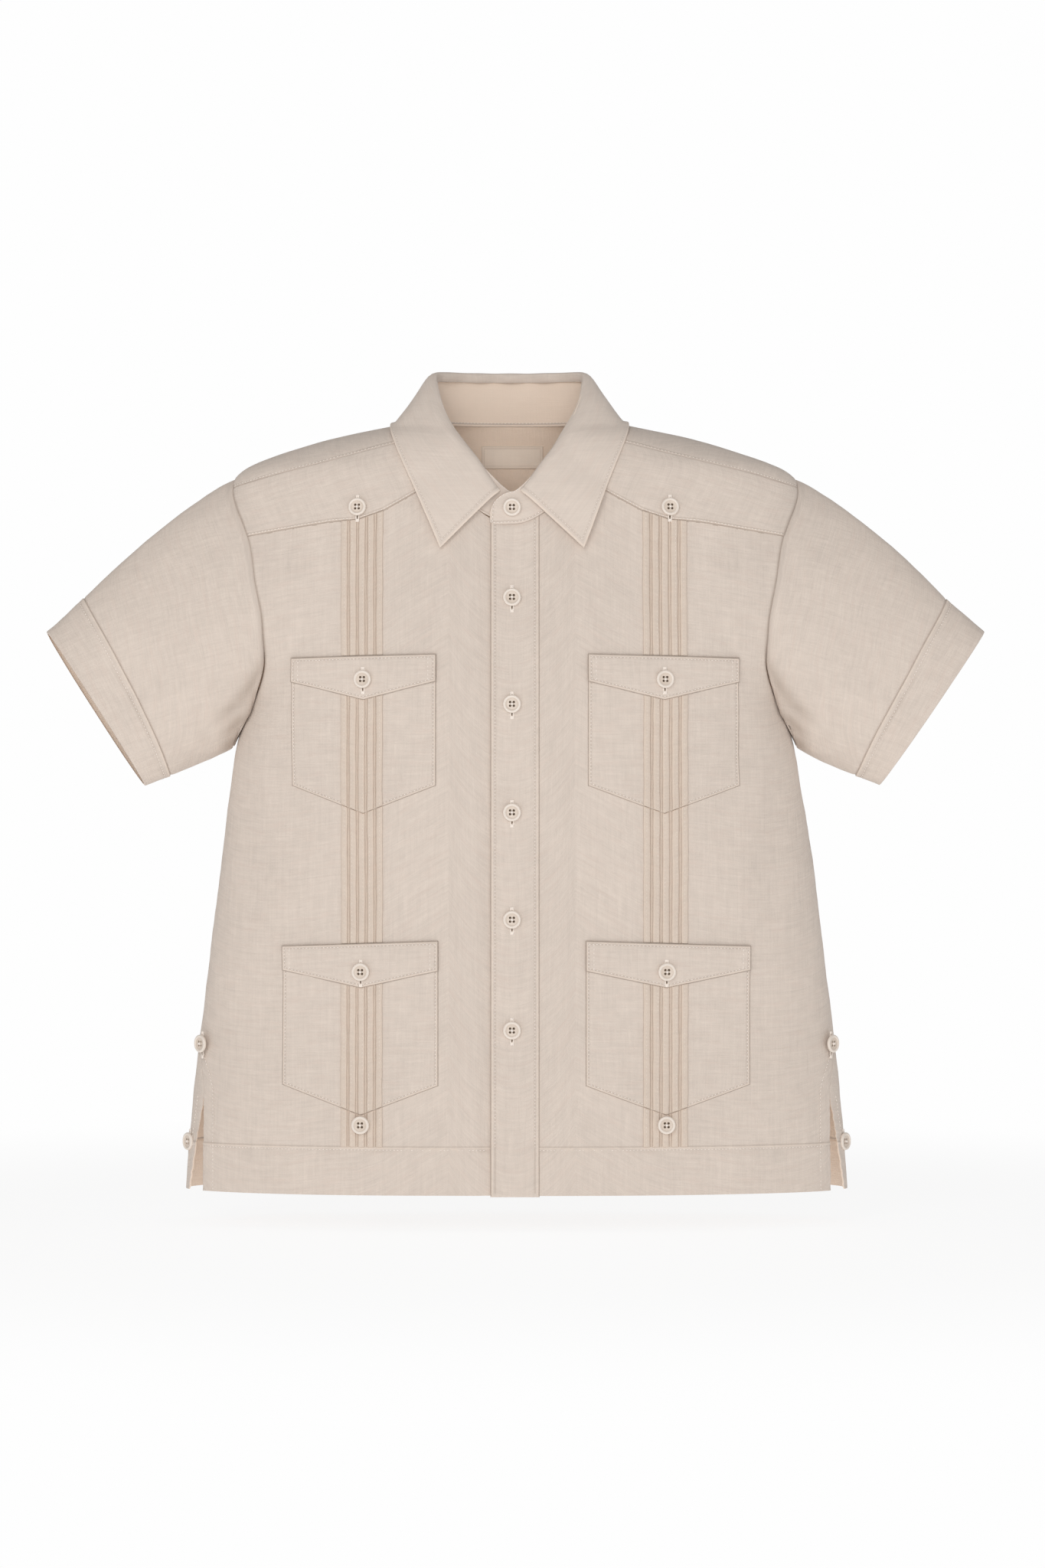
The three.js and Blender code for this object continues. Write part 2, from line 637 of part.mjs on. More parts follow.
// Moves a point out until it is at least a distance from the body's surface.
function keptOff(point, distance) {
  const level = (p) => {
    const deep = column(BODY, p.z, p.y > 0 ? "back" : "front");
    return Math.abs(p.x / column(BODY, p.z, "half")) ** BODY_POWER + (p.y / deep) ** 2 - 1;
  };
  const step = 0.2;
  const axes = [new THREE.Vector3(step, 0, 0), new THREE.Vector3(0, step, 0), new THREE.Vector3(0, 0, step)];
  range(4).forEach(() => {
    const slope = new THREE.Vector3(
      ...axes.map((a) => (level(point.clone().add(a)) - level(point.clone().sub(a))) / (2 * step)),
    );
    const steepness = Math.max(slope.length(), 1e-6);
    const away = level(point) / steepness;
    if (away < distance) point.addScaledVector(slope.divideScalar(steepness), Math.min(distance - away, 6));
  });
  return point;
}

// Which way along a grid's own normals leads in towards the neck.
function inwards(grid) {
  const [test] = offsetGrid(grid, 1, 1);
  const middle = Math.floor(test.length / 2);
  return Math.hypot(test[middle].x, test[middle].y) < Math.hypot(grid[0][middle].x, grid[0][middle].y) ? 1 : -1;
}

// The leaf's outer edge, from the centre back to the point; share is how far round the fold it is opposite.
const LEAF_EDGE = [
  { share: 0, x: 0, y: 54, z: -5.5 },
  { share: 0.25, x: 46, y: 46, z: -4 },
  { share: 0.5, x: 76.5, y: 4, z: -0.5 },
  { share: 0.62, x: 76, y: -27.5, z: -6.5 },
  { share: 0.82, x: 60.5, y: -49, z: -46 },
  { share: 1, x: 45.4, y: -55.5, z: -84 },
];
function leafEdge(share) {
  const rows = LEAF_EDGE;
  let i = 0;
  while (i < rows.length - 2 && rows[i + 1].share <= share) i++;
  const curve = new THREE.CatmullRomCurve3(rows.map((p) => new THREE.Vector3(p.x, p.y, p.z)), false, "centripetal");
  const t = (share - rows[i].share) / (rows[i + 1].share - rows[i].share);
  return curve.getPoint((i + t) / (rows.length - 1));
}

function collarLeaf() {
  const halfCols = 17;
  const turns = range(2 * halfCols + 1).map((i) => (i - halfCols) / halfCols);
  const rows = 3;
  const grid = shares(rows).map((v) =>
    turns.map((share) => {
      const side = Math.sign(share) || 1;
      const fold = foldPoint(side * Math.abs(share) * (90 + LEAF_END));
      const edge = leafEdge(Math.abs(share));
      edge.x = side * edge.x + COLLAR_SHIFT * (1 - smooth(0.7, 1, Math.abs(share)));
      const away = new THREE.Vector3(fold.x, fold.y, 0).normalize();
      fold.addScaledVector(away, LEAF_START + lap(side * Math.abs(share) * (90 + LEAF_END)));
      const point = fold.clone().lerp(edge, v);
      // The leaf rolls over the fold, so it stands off a straight line.
      const belly = Math.sin(Math.PI * v) * lerp(3.5, 0.5, smooth(0.1, 0.5, Math.abs(share)));
      point.addScaledVector(away, belly * 0.6).add(new THREE.Vector3(0, 0, belly * 0.5));
      return keptOff(point, LEAF + LEAF_CLEAR);
    }),
  );
  add("collar_leaf", closeGrids(grid, offsetGrid(grid, LEAF, inwards(grid))));
}

function label() {
  const layer = (lift) =>
    shares(2).map((v) =>
      shares(4).map((u) => {
        const x = lerp(-LABEL.wide / 2, LABEL.wide / 2, u);
        const z = LABEL.top - LABEL.high * v;
        return lifted(180 - turnAt(x, z), z, lift);
      }),
    );
  const outside = -CLOTH - LABEL.clear;
  add("label", closeGrids(layer(outside), layer(outside - LABEL.wall)), "label");
}

// ---------------------------------------------------------------- sleeves
function cuffPoint(step, back, shear) {
  const angle = step * ARM_STEP * DEG;
  const point = new THREE.Vector3(CUFF.x, 0, CUFF.z);
  point.addScaledVector(CUFF_UP, CUFF.half * Math.cos(angle));
  point.y -= CUFF.deep * Math.sin(angle);
  return point.addScaledVector(CUFF_OUT, -back - shear * Math.sin(angle));
}

// How far out the body's side is, at a height and a depth.
function bodySide(y, z) {
  const deep = column(BODY, z, y > 0 ? "back" : "front");
  return column(BODY, z, "half") * Math.max(0, 1 - (y / deep) ** 2) ** (1 / BODY_POWER);
}

// A point of the sleeve. along is 0 at the armhole and 1 at the hem.
function sleevePoint(step, along, shear) {
  const a = armhole(step);
  const start = body(a.turn, a.z);
  start.x -= DRIFT_TOP;
  const end = cuffPoint(step, 0, shear);
  const low = (1 - Math.cos(step * ARM_STEP * DEG)) / 2;
  const leave = new THREE.Vector3(lerp(119, 20, low), 0, lerp(-48, -85, low));
  const arrive = CUFF_OUT.clone().multiplyScalar(lerp(110, 75, low));
  arrive.z -= lerp(18, -8, low);
  const point = new THREE.Vector3(
    hermite(start.x, leave.x, end.x, arrive.x, along),
    hermite(start.y, leave.y, end.y, arrive.y, along),
    hermite(start.z, leave.z, end.z, arrive.z, along),
  );
  if (point.z < ARM_BOTTOM_Z + 40) point.x = Math.max(point.x, clearOf(point, a, along));
  return point;
}
function clearOf(point, a, along) {
  const keep = BODY_CLEAR * THREE.MathUtils.clamp(along * 12, 0.2, 1);
  return point.z < a.z ? bodySide(point.y, point.z) + keep : point.x;
}

function sleeve({ name, sign }) {
  const shear = CUFF_SHEAR[name];
  const bandAt = 1 - CUFF_WIDE / 118;
  const ring = (along) =>
    range(ARM_STEPS).map((step) => {
      const p = sleevePoint(step, along, shear);
      const low = (1 - Math.cos(step * ARM_STEP * DEG)) / 2;
      p.x = sign * p.x + DRIFT_TOP * (1 - low * along);
      return p;
    });
  const tube = (stations) => {
    const grid = stations.map(ring);
    const side = sign > 0 ? 1 : -1;
    return closeGrids(grid, offsetGrid(grid, CLOTH, side, true), true);
  };
  add(`sleeve_${name}`, tube([0.008, 0.1, 0.25, 0.42, 0.6, bandAt]));
  add(`sleeve_band_${name}`, tube([bandAt + 0.004, 1]));
}

// ---------------------------------------------------------------- buttons
function buttonGeometry() {
  const rim = BUTTON_THICK;
  const profile = [
    [0, 0],
    [BUTTON_R - 0.8, 0],
    [BUTTON_R, 0.9],
    [BUTTON_R - 0.3, rim],
    [BUTTON_R - 1.5, rim],
    [BUTTON_R - 2.1, rim - 0.6],
    [0, rim - 0.6],
  ].map(([x, y]) => new THREE.Vector2(x, y));
  const disc = solidOf(new THREE.LatheGeometry(profile, 12).rotateX(Math.PI / 2));
  const hole = 0.7;
  const spacing = 1.15;
  const drilled = [45, 135, 225, 315].reduce((left, angle) => {
    const bar = new THREE.CylinderGeometry(hole, hole, 4 * rim, 4).rotateX(Math.PI / 2);
    bar.translate(spacing * Math.SQRT2 * Math.cos(angle * DEG), spacing * Math.SQRT2 * Math.sin(angle * DEG), 0);
    return left.subtract(solidOf(bar));
  }, disc);
  return geometryOf(drilled);
}
function solidOf(geometry) {
  const bare = new THREE.BufferGeometry().setAttribute("position", geometry.toNonIndexed().getAttribute("position"));
  const merged = mergeVertices(bare, 1e-4);
  const mesh = { numProp: 3, vertProperties: merged.attributes.position.array };
  const solid = new wasm.Manifold(new wasm.Mesh({ ...mesh, triVerts: new Uint32Array(merged.index.array) }));
  return solid;
}
function geometryOf(solid) {
  const mesh = solid.getMesh();
  const geometry = new THREE.BufferGeometry();
  geometry.setAttribute("position", new THREE.BufferAttribute(mesh.vertProperties, 3));
  geometry.setIndex(new THREE.BufferAttribute(mesh.triVerts, 1));
  return facingOut(geometry);
}
const BUTTON = buttonGeometry();

// A button whose back is at a point, facing along a direction.
function button(name, point, facing) {
  const mesh = add(`button_${name}`, BUTTON.clone(), "button");
  mesh.position.copy(point);
  mesh.quaternion.setFromUnitVectors(new THREE.Vector3(0, 0, 1), facing.clone().normalize());
}
function frontButton(name, x, z, lift) {
  const turn = turnAt(x, z);
  button(name, lifted(turn, z, lift + 2 * GAP), bodyNormal(turn, z));
}

function buttons() {
  const onPanel = 0;
  const onPlacket = GAP + CLOTH;
  const onPocket = PATCH_GAP + PATCH;
  const onFlap = 2 * onPocket;
  FRONT_BUTTON_Z.forEach((z, i) => frontButton(`front_${i + 1}`, 0, z, onPlacket));
  const low = standBase(COLLAR_BUTTON_TURN);
  const high = foldPoint(COLLAR_BUTTON_TURN);
  const rise = high.clone().sub(low);
  const facing = new THREE.Vector3(0, -rise.z, rise.y);
  button("collar", low.lerp(high, 0.52).add(new THREE.Vector3(0, -lap(179) - 0.8, 0)), facing);
  SIDES.forEach(({ name, sign }) => {
    frontButton(`yoke_${name}`, sign * YOKE_BUTTON.x, YOKE_BUTTON.z, onPanel);
    POCKETS.forEach((p) => frontButton(`${p.name}_${name}`, sign * p.pointX, p.buttonZ, onFlap));
    const waist = POCKETS[1];
    frontButton(`point_${name}`, sign * waist.pointX, waist.point - POINT_BUTTON_DROP, onPocket);
    SIDE_BUTTONS.forEach((b) => {
      const facing = new THREE.Vector3(sign * Math.sin(b.turn * DEG), -Math.cos(b.turn * DEG), 0);
      button(`vent_${b.name}_${name}`, new THREE.Vector3(sign * b.x + DRIFT_HEM, b.y, b.z), facing);
    });
  });
}

SIDES.forEach((side) => {
  frontPanel(side);
  frontYoke(side);
  frontTucks(side);
  POCKETS.forEach((p) => pocket(side, p));
  sleeve(side);
});
backPanel();
backYoke();
placket();
collarStand();
collarLeaf();
label();
buttons();

export default shirt;
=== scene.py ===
"""A boy's short-sleeved guayabera shirt in slubby linen, filled out as if worn, with nobody in it.

The cloth follows the same surfaces as the CAD part, in millimetres, and each piece is turned into metres
when its mesh is made. +Z is up, the front faces -Y and the wearer's left is +X.
"""
import math

import bpy
import numpy as np
from mathutils import Matrix, Vector


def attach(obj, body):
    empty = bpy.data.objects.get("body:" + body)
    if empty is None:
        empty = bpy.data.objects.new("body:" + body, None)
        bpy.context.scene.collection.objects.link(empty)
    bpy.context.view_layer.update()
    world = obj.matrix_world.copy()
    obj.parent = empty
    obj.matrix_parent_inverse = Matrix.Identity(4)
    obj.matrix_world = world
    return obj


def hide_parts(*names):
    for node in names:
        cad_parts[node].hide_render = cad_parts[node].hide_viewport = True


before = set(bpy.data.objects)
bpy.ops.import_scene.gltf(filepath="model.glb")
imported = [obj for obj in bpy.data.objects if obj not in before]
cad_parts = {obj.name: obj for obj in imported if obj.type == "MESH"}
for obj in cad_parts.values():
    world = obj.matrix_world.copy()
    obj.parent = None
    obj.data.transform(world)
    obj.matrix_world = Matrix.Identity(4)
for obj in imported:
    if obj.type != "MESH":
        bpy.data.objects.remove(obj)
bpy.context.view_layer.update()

MM = 0.001

# ---------------------------------------------------------------- driving sizes, as in the CAD
GAP = 0.3
CLOTH = 1.2
HEM_Z = -490.5
BODY_POWER = 2.5

# Height, half width, depth to the front and depth to the back.
BODY = np.array([
    (6, 40, 20, 36), (0, 54, 27, 38), (-5, 80, 32, 40), (-12, 113, 38, 43), (-21, 144, 42, 46),
    (-32, 172, 45, 49), (-45, 183, 47, 52), (-74, 190, 51, 57), (-105, 196, 56, 61), (-135, 187, 60, 62),
    (-160, 174, 62, 62), (-180, 171, 63, 61), (-207, 178, 63, 60), (-245, 184, 63, 59), (-304, 192, 62, 58),
    (-363, 199, 62, 59), (-421, 206, 62, 60), (-498, 212, 62, 61),
], float)
HALF, FRONT, BACK = 1, 2, 3

# Long soft folds down the back: where round it, how wide, how deep at the hem, where each starts.
FOLDS = [
    (118, 9, -4.0, -190), (138, 8, 4.5, -120), (160, 9, -3.5, -150), (181, 10, 3.0, -210),
    (203, 9, -4.5, -130), (224, 8, 4.0, -170), (243, 9, -3.5, -230),
]
DRIFT_TOP, DRIFT_HEM = 2, 2.9
VENT_TOP_Z, SEAM_TURNS_Z, VENT_X, VENT_SPREAD = -431, -376, 199.3, 11

ARM_TOP_Z, ARM_BOTTOM_Z, ARM_FRONT, ARM_BACK, ARM_POWER = -37, -190, 33, 31, 1.5
SHOULDER_ANGLE, YOKE_ANGLE = 24, 60  # degrees round the armhole to the yokes' two seams

NECK_HALF, NECK_DROP, NECK_POWER = 54, 68, 1.6
FOLD_HALF, FOLD_FRONT, FOLD_BACK, FOLD_TOP_Z, FOLD_SLOPE, FOLD_SOFT = 48.5, 49, 35, 34, 0.92, 12
COLLAR_SHIFT = -1.7
SHOULDER_SEAM_NECK, YOKE_NECK, STAND_OVERLAP, LEAF_END = 20, 42.7, 14.4, 83
YOKE_EDGE = [(39.7, -36.7), (62, -49.3), (81.5, -60), (98, -65.6), (116, -66.8)]
SHOULDER_EDGE = [(50.6, -12.6), (75, -17.4), (116, -27.4), (141, -33.4)]
BACK_YOKE_Z = -82

PLACKET_LEFT, PLACKET_RIGHT, UNDERLAP = -13.5, 17.3, 13
FRONT_BUTTON_Z = [-115.3, -182.2, -250, -317.3, -386.7]
YOKE_BUTTON = (98.5, -57.6)
TUCK_X, TUCK_WIDE, TUCK_PITCH, TUCK_COUNT, TUCK_END_Z = 95.4, 4.2, 5.75, 5, -460.5
POCKETS = {
    "chest": dict(inner=47.6, outer=141.5, top_in=-150.6, top_out=-152.6, side=-233.4, point=-251.2,
                  point_x=94.5, flap_side=-168, flap_point=-179.6, button_z=-166.5),
    "waist": dict(inner=46.2, outer=147.4, top_in=-330.6, top_out=-334.2, side=-421.7, point=-440.6,
                  point_x=95.8, flap_side=-349.8, flap_point=-360.5, button_z=-350.3),
}
POINT_BUTTON_DROP = 5.8
CUFF_X, CUFF_Z, CUFF_HALF, CUFF_DEEP = 267.7, -184.2, 58.7, 23
CUFF_UP, CUFF_OUT = np.array((0.552, 0, 0.833)), np.array((0.833, 0, -0.552))
CUFF_WIDE = 27
CUFF_SHEAR = {"left": 0, "right": 3}
SIDES = {"left": 1, "right": -1}

# ---------------------------------------------------------------- looks
CLOTH_COLOUR = (0.70, 0.605, 0.53)
TUCK_COLOUR = (0.69, 0.58, 0.49)
COLLAR_COLOUR = (0.71, 0.615, 0.54)
THREAD_COLOUR = (0.94, 0.86, 0.79)
BUTTON_COLOUR = (0.68, 0.575, 0.485)
# The button's raised rim is painted lighter than its face, as a highlight.
BUTTON_RIM_HIGHLIGHT_COLOUR = (0.80, 0.71, 0.63)
LABEL_COLOUR = (0.96, 0.84, 0.72)
# How strongly the painted shade darkens the cloth in seams, grooves and folds.
PAINTED_SHADE_STRENGTH = 0.5
FLOOR_Z = -512
FLOOR_PAINT, FLOOR_GLOW = 0.16, 0.86
AMBIENT, BACKGROUND = 0.42, 0.991
KEY_WATTS, FILL_WATTS = 14.6, 19
SENSOR_WIDTH, LENS = 36, 107.6
CAMERA_PLACE = (0.0066, -3.0, -0.2323)


# ---------------------------------------------------------------- numbers
def hermite(a, slope_a, b, slope_b, t):
    """A cubic from a to b with the given slopes at its ends."""
    t2, t3 = t * t, t * t * t
    from_a = (2 * t3 - 3 * t2 + 1) * a + (t3 - 2 * t2 + t) * slope_a
    return from_a + (3 * t2 - 2 * t3) * b + (t3 - t2) * slope_b


def column(z, key):
    """One column of the body table at heights z."""
    z = np.clip(np.asarray(z, float), BODY[-1, 0], BODY[0, 0])
    heights, values = BODY[:, 0], BODY[:, key]
    last = len(BODY) - 1
    i = np.clip(np.searchsorted(-heights, -z, side="right") - 1, 0, last - 1)
    before, after = np.maximum(i - 1, 0), np.minimum(i + 2, last)
    slope_a = (values[i + 1] - values[before]) / (heights[i + 1] - heights[before])
    slope_b = (values[after] - values[i]) / (heights[after] - heights[i])
    span = heights[i + 1] - heights[i]
    return hermite(values[i], slope_a * span, values[i + 1], slope_b * span, (z - heights[i]) / span)


def smooth(edge0, edge1, value):
    t = np.clip((value - edge0) / (edge1 - edge0), 0, 1)
    return t * t * (3 - 2 * t)


def lerp(a, b, t):
    return a + (b - a) * t


def sind(a):
    return np.sin(np.radians(a))


def cosd(a):
    return np.cos(np.radians(a))


def ripple(p, wavelength, seed, waves=7):
    """Smooth noise of about unit height at points p, made of a few waves in seeded directions."""
    rng = np.random.default_rng(seed)
    total = np.zeros(p.shape[:-1])
    for _ in range(waves):
        way = rng.normal(size=3)
        way *= 2 * math.pi / (wavelength * rng.uniform(0.7, 1.5) * np.linalg.norm(way))
        total += np.sin(p @ way + rng.uniform(0, 2 * math.pi))
    return total / math.sqrt(waves / 2) / 1.6


def near_line(x, z, x0, z0, x1, z1, wide):
    """1 on a line in (x, z), falling softly to 0 across wide and towards both ends."""
    length = math.hypot(x1 - x0, z1 - z0)
    along = ((x - x0) * (x1 - x0) + (z - z0) * (z1 - z0)) / length**2
    across = ((x - x0) * (z1 - z0) - (z - z0) * (x1 - x0)) / length
    ends = smooth(-0.15, 0.3, along) * (1 - smooth(0.7, 1.15, along))
    return np.exp(-((across / wide) ** 2)) * ends


# ---------------------------------------------------------------- the body's surface
def drift(share, z):
    amount = DRIFT_TOP * smooth(-20, ARM_TOP_Z, z) + (DRIFT_HEM - DRIFT_TOP) * smooth(ARM_BOTTOM_Z, -300, z)
    return amount * smooth(0.25, 0.8, np.abs(share))


def body(turn, z):
    """Points of the outer surface. turn is in degrees: 0 at the centre front, 90 at +X and 180 at the back."""
    turn, z = np.broadcast_arrays(np.asarray(turn, float), np.asarray(z, float))
    s = sind(turn)
    to_back = cosd(turn) < 0
    half = column(z, HALF)
    deep = np.where(to_back, column(z, BACK), column(z, FRONT))
    share = np.sqrt(np.maximum(0, 1 - np.abs(s) ** BODY_POWER))
    out = sum(
        deepness * smooth(start, HEM_Z, z) * np.exp(-((((turn % 360) - at) / wide) ** 2))
        for at, wide, deepness, start in FOLDS
    )
    y = np.where(to_back, deep, -deep) * share + out * share
    return np.stack((half * s + drift(s, z), y, z), -1)


def body_normal(turn, z):
    step = 0.4
    sideways = body(turn + step, z) - body(turn - step, z)
    up = body(turn, z + step) - body(turn, z - step)
    normal = np.cross(sideways, up)
    return normal / np.linalg.norm(normal, axis=-1, keepdims=True)


# Main creases on the body: front (-1) or back (1), from (x, z) to (x, z), half width and height.
CREASES = [
    (-1, 150, -196, 118, -292, 6, -0.9), (-1, 160, -204, 140, -330, 7, 0.9),
    (-1, 170, -215, 163, -330, 6, -0.8), (-1, -150, -198, -120, -285, 6, -0.8),
    (-1, -160, -206, -143, -338, 7, 1.0), (-1, -171, -216, -165, -322, 6, -0.7),
    (-1, 158, -108, 120, -92, 6, 0.6), (-1, -158, -112, -122, -94, 6, 0.6),
    (-1, 152, -172, 126, -128, 5, -0.6), (-1, -152, -174, -128, -132, 5, -0.6),
    (-1, 30, -262, 36, -420, 8, 0.7), (-1, -30, -255, -38, -440, 9, 0.6),
    (-1, 176, -300, 170, -440, 9, 0.8), (-1, -178, -310, -172, -450, 9, 0.8),
    (-1, 66, -262, 60, -325, 7, -0.5), (-1, -64, -258, -70, -322, 7, -0.5),
    (1, 150, -176, 96, -250, 9, -1.8), (1, 158, -190, 120, -300, 9, 1.6),
    (1, -150, -178, -100, -256, 9, -1.8), (1, -158, -192, -118, -305, 9, 1.6),
    (1, 60, -92, 40, -230, 10, 1.2), (1, -58, -92, -44, -240, 10, 1.2),
    (1, 20, -100, 12, -330, 10, -1.0), (1, 100, -88, 84, -190, 9, -1.0),
    (1, -98, -88, -86, -196, 9, -1.0), (1, 176, -230, 160, -400, 10, 1.6),
    (1, -176, -235, -162, -410, 10, 1.5), (1, 130, -95, 148, -150, 8, 0.9),
    (1, -130, -95, -148, -152, 8, 0.9),
]


def wrinkle(turn, z):
    """How far the cloth stands off the plain surface."""
    p = body(turn, z)
    x, y = p[..., 0], p[..., 1]
    side = np.where(cosd(turn) < 0, 1, -1)
    total = 0.45 * ripple(p, 85, 3) + 0.16 * ripple(p, 30, 8) + 0.05 * ripple(p, 11, 21)
    for face, x0, z0, x1, z1, wide, high in CREASES:
        total = total + high * near_line(x, z, x0, z0, x1, z1, wide) * smooth(-6, 14, side * face * np.abs(y))
    calm = smooth(0, -26, z)  # the cloth is held flat round the neck
    return total * (0.25 + 0.75 * calm)


def lifted(turn, z, lift):
    """The crumpled surface, moved out by lift."""
    turn, z = np.broadcast_arrays(np.asarray(turn, float), np.asarray(z, float))
    off = (wrinkle(turn, z) + lift)[..., None]
    return body(turn, z) + off * body_normal(turn, z)


def across(turn, z):
    return column(z, HALF) * sind(turn)


def turn_at(x, z):
    return np.degrees(np.arcsin(np.clip(x / column(z, HALF), -1, 1)))


def on_front(x, z, lift):
    return lifted(turn_at(x, z), z, lift)


# ---------------------------------------------------------------- seams
def armhole(angle):
    """(turn, z) of the armhole at an angle round it: 0 is its top, and the front comes first."""
    angle = np.asarray(angle, float)
    z = ARM_TOP_Z + (ARM_BOTTOM_Z - ARM_TOP_Z) * (1 - cosd(angle)) / 2
    reach = np.abs(sind(angle)) ** ARM_POWER
    return np.where(sind(angle) >= 0, 90 - ARM_FRONT * reach, 90 + ARM_BACK * reach), z


def neckline(round_):
    """(turn, z) of the neckline: round_ is -90 at the back, 0 at the side and 90 at the front."""
    round_ = np.asarray(round_, float)
    z = -NECK_DROP * np.maximum(0, sind(round_)) ** NECK_POWER
    turn = turn_at(NECK_HALF * cosd(round_), z)
    return np.where(round_ < 0, 180 - turn, turn), z


def neckline_z(x):
    return -NECK_DROP * np.sqrt(np.maximum(0, 1 - (np.asarray(x, float) / NECK_HALF) ** 2)) ** NECK_POWER


def arm_point(angle):
    turn, z = armhole(angle)
    return float(across(turn, z)), float(z)


def edge_z(edge, end, x):
    rows = np.array([*edge, end])
    return np.interp(x, rows[:, 0], rows[:, 1])


def yoke_edge_z(x):
    return edge_z(YOKE_EDGE, arm_point(YOKE_ANGLE), np.abs(x))


def shoulder_edge_z(x):
    return edge_z(SHOULDER_EDGE, arm_point(SHOULDER_ANGLE), np.abs(x))


def front_top_z(x):
    x = np.abs(x)
    return np.where(x < YOKE_EDGE[0][0], neckline_z(x), yoke_edge_z(x))


def seam_turn(z, is_back):
    """The turn of the side seam. Below the vent's top the back panel's edge stands off the front's."""
    at_vent = turn_at(VENT_X, VENT_TOP_Z)
    above = 90 + (at_vent - 90) * smooth(SEAM_TURNS_Z, VENT_TOP_Z, z)
    front = np.where(z < VENT_TOP_Z, turn_at(VENT_X, z), above)
    spread = VENT_SPREAD * np.clip((VENT_TOP_Z - z) / (VENT_TOP_Z - HEM_Z), 0, 1)
    return front + (spread if is_back else 0)


def chevron(pocket, side, point):
    def z_of(x):
        at = [pocket[key] for key in ("inner", "point_x", "outer")]
        return np.interp(np.abs(x), at, [pocket[key] for key in (side, point, side)])

    return z_of


def top_edge(pocket):
    ends, heights = (pocket["inner"], pocket["outer"]), (pocket["top_in"], pocket["top_out"])
    return lambda x: np.interp(np.abs(x), ends, heights)


# ---------------------------------------------------------------- meshes
BORDER = (0.12, 0.4, 0.8, 1.3, 1.7, 2.1, 2.8, 4)  # distances from an edge that get their own row
FLANGE = 0.35  # flat width outside a sewn-on piece's rounded edge
STITCH_SHADE = 0.6  # how dark the painted shade is in the valley under a row of stitches


def spaced(start, end, step, keys=()):
    """Evenly spaced values from start to end with the keys among them."""
    between = [k for k in keys if min(start, end) < k < max(start, end)]
    stops = sorted({start, end, *between}, reverse=start > end)
    values = [stops[0]]
    for a, b in zip(stops, stops[1:]):
        count = max(1, round(abs(b - a) / step))
        values += list(np.linspace(a, b, count + 1)[1:])
    return np.array(values)


def bordered(start, end, step, low=True, high=True, keys=()):
    """spaced(), with close rows beside the two ends."""
    way = 1 if end > start else -1
    stops = list(keys)
    if low:
        stops += [start + way * d for d in BORDER]
    if high:
        stops += [end - way * d for d in BORDER]
    return spaced(start, end, step, stops)


def arc_lengths(grid):
    """UVs in metres: the length along each row from its middle column, and down each column from its top."""
    steps = np.linalg.norm(np.diff(grid, axis=1), axis=-1)
    u = np.concatenate((np.zeros((grid.shape[0], 1)), np.cumsum(steps, 1)), 1)
    u -= u[:, [grid.shape[1] // 2]]
    drops = np.linalg.norm(np.diff(grid, axis=0), axis=-1)
    v = np.concatenate((np.zeros((1, grid.shape[1])), -np.cumsum(drops, 0)), 0)
    return np.stack((u, v), -1) * MM


def build(name, points, quads, uvs, material, sharp=40):
    mesh = bpy.data.meshes.new(name)
    count = len(quads)
    mesh.vertices.add(len(points))
    mesh.vertices.foreach_set("co", (points * MM).astype(np.float32).ravel())
    mesh.loops.add(4 * count)
    mesh.loops.foreach_set("vertex_index", quads.astype(np.int32).ravel())
    mesh.polygons.add(count)
    mesh.polygons.foreach_set("loop_start", np.arange(0, 4 * count, 4, dtype=np.int32))
    mesh.update(calc_edges=True)
    layer = mesh.uv_layers.new(name="Grain")
    layer.data.foreach_set("uv", uvs.astype(np.float32).ravel())
    mesh.shade_smooth()
    mesh.set_sharp_from_angle(angle=math.radians(sharp))
    mesh.validate()
    obj = bpy.data.objects.new(name, mesh)
    bpy.context.scene.collection.objects.link(obj)
    mesh.materials.append(material)
    return obj


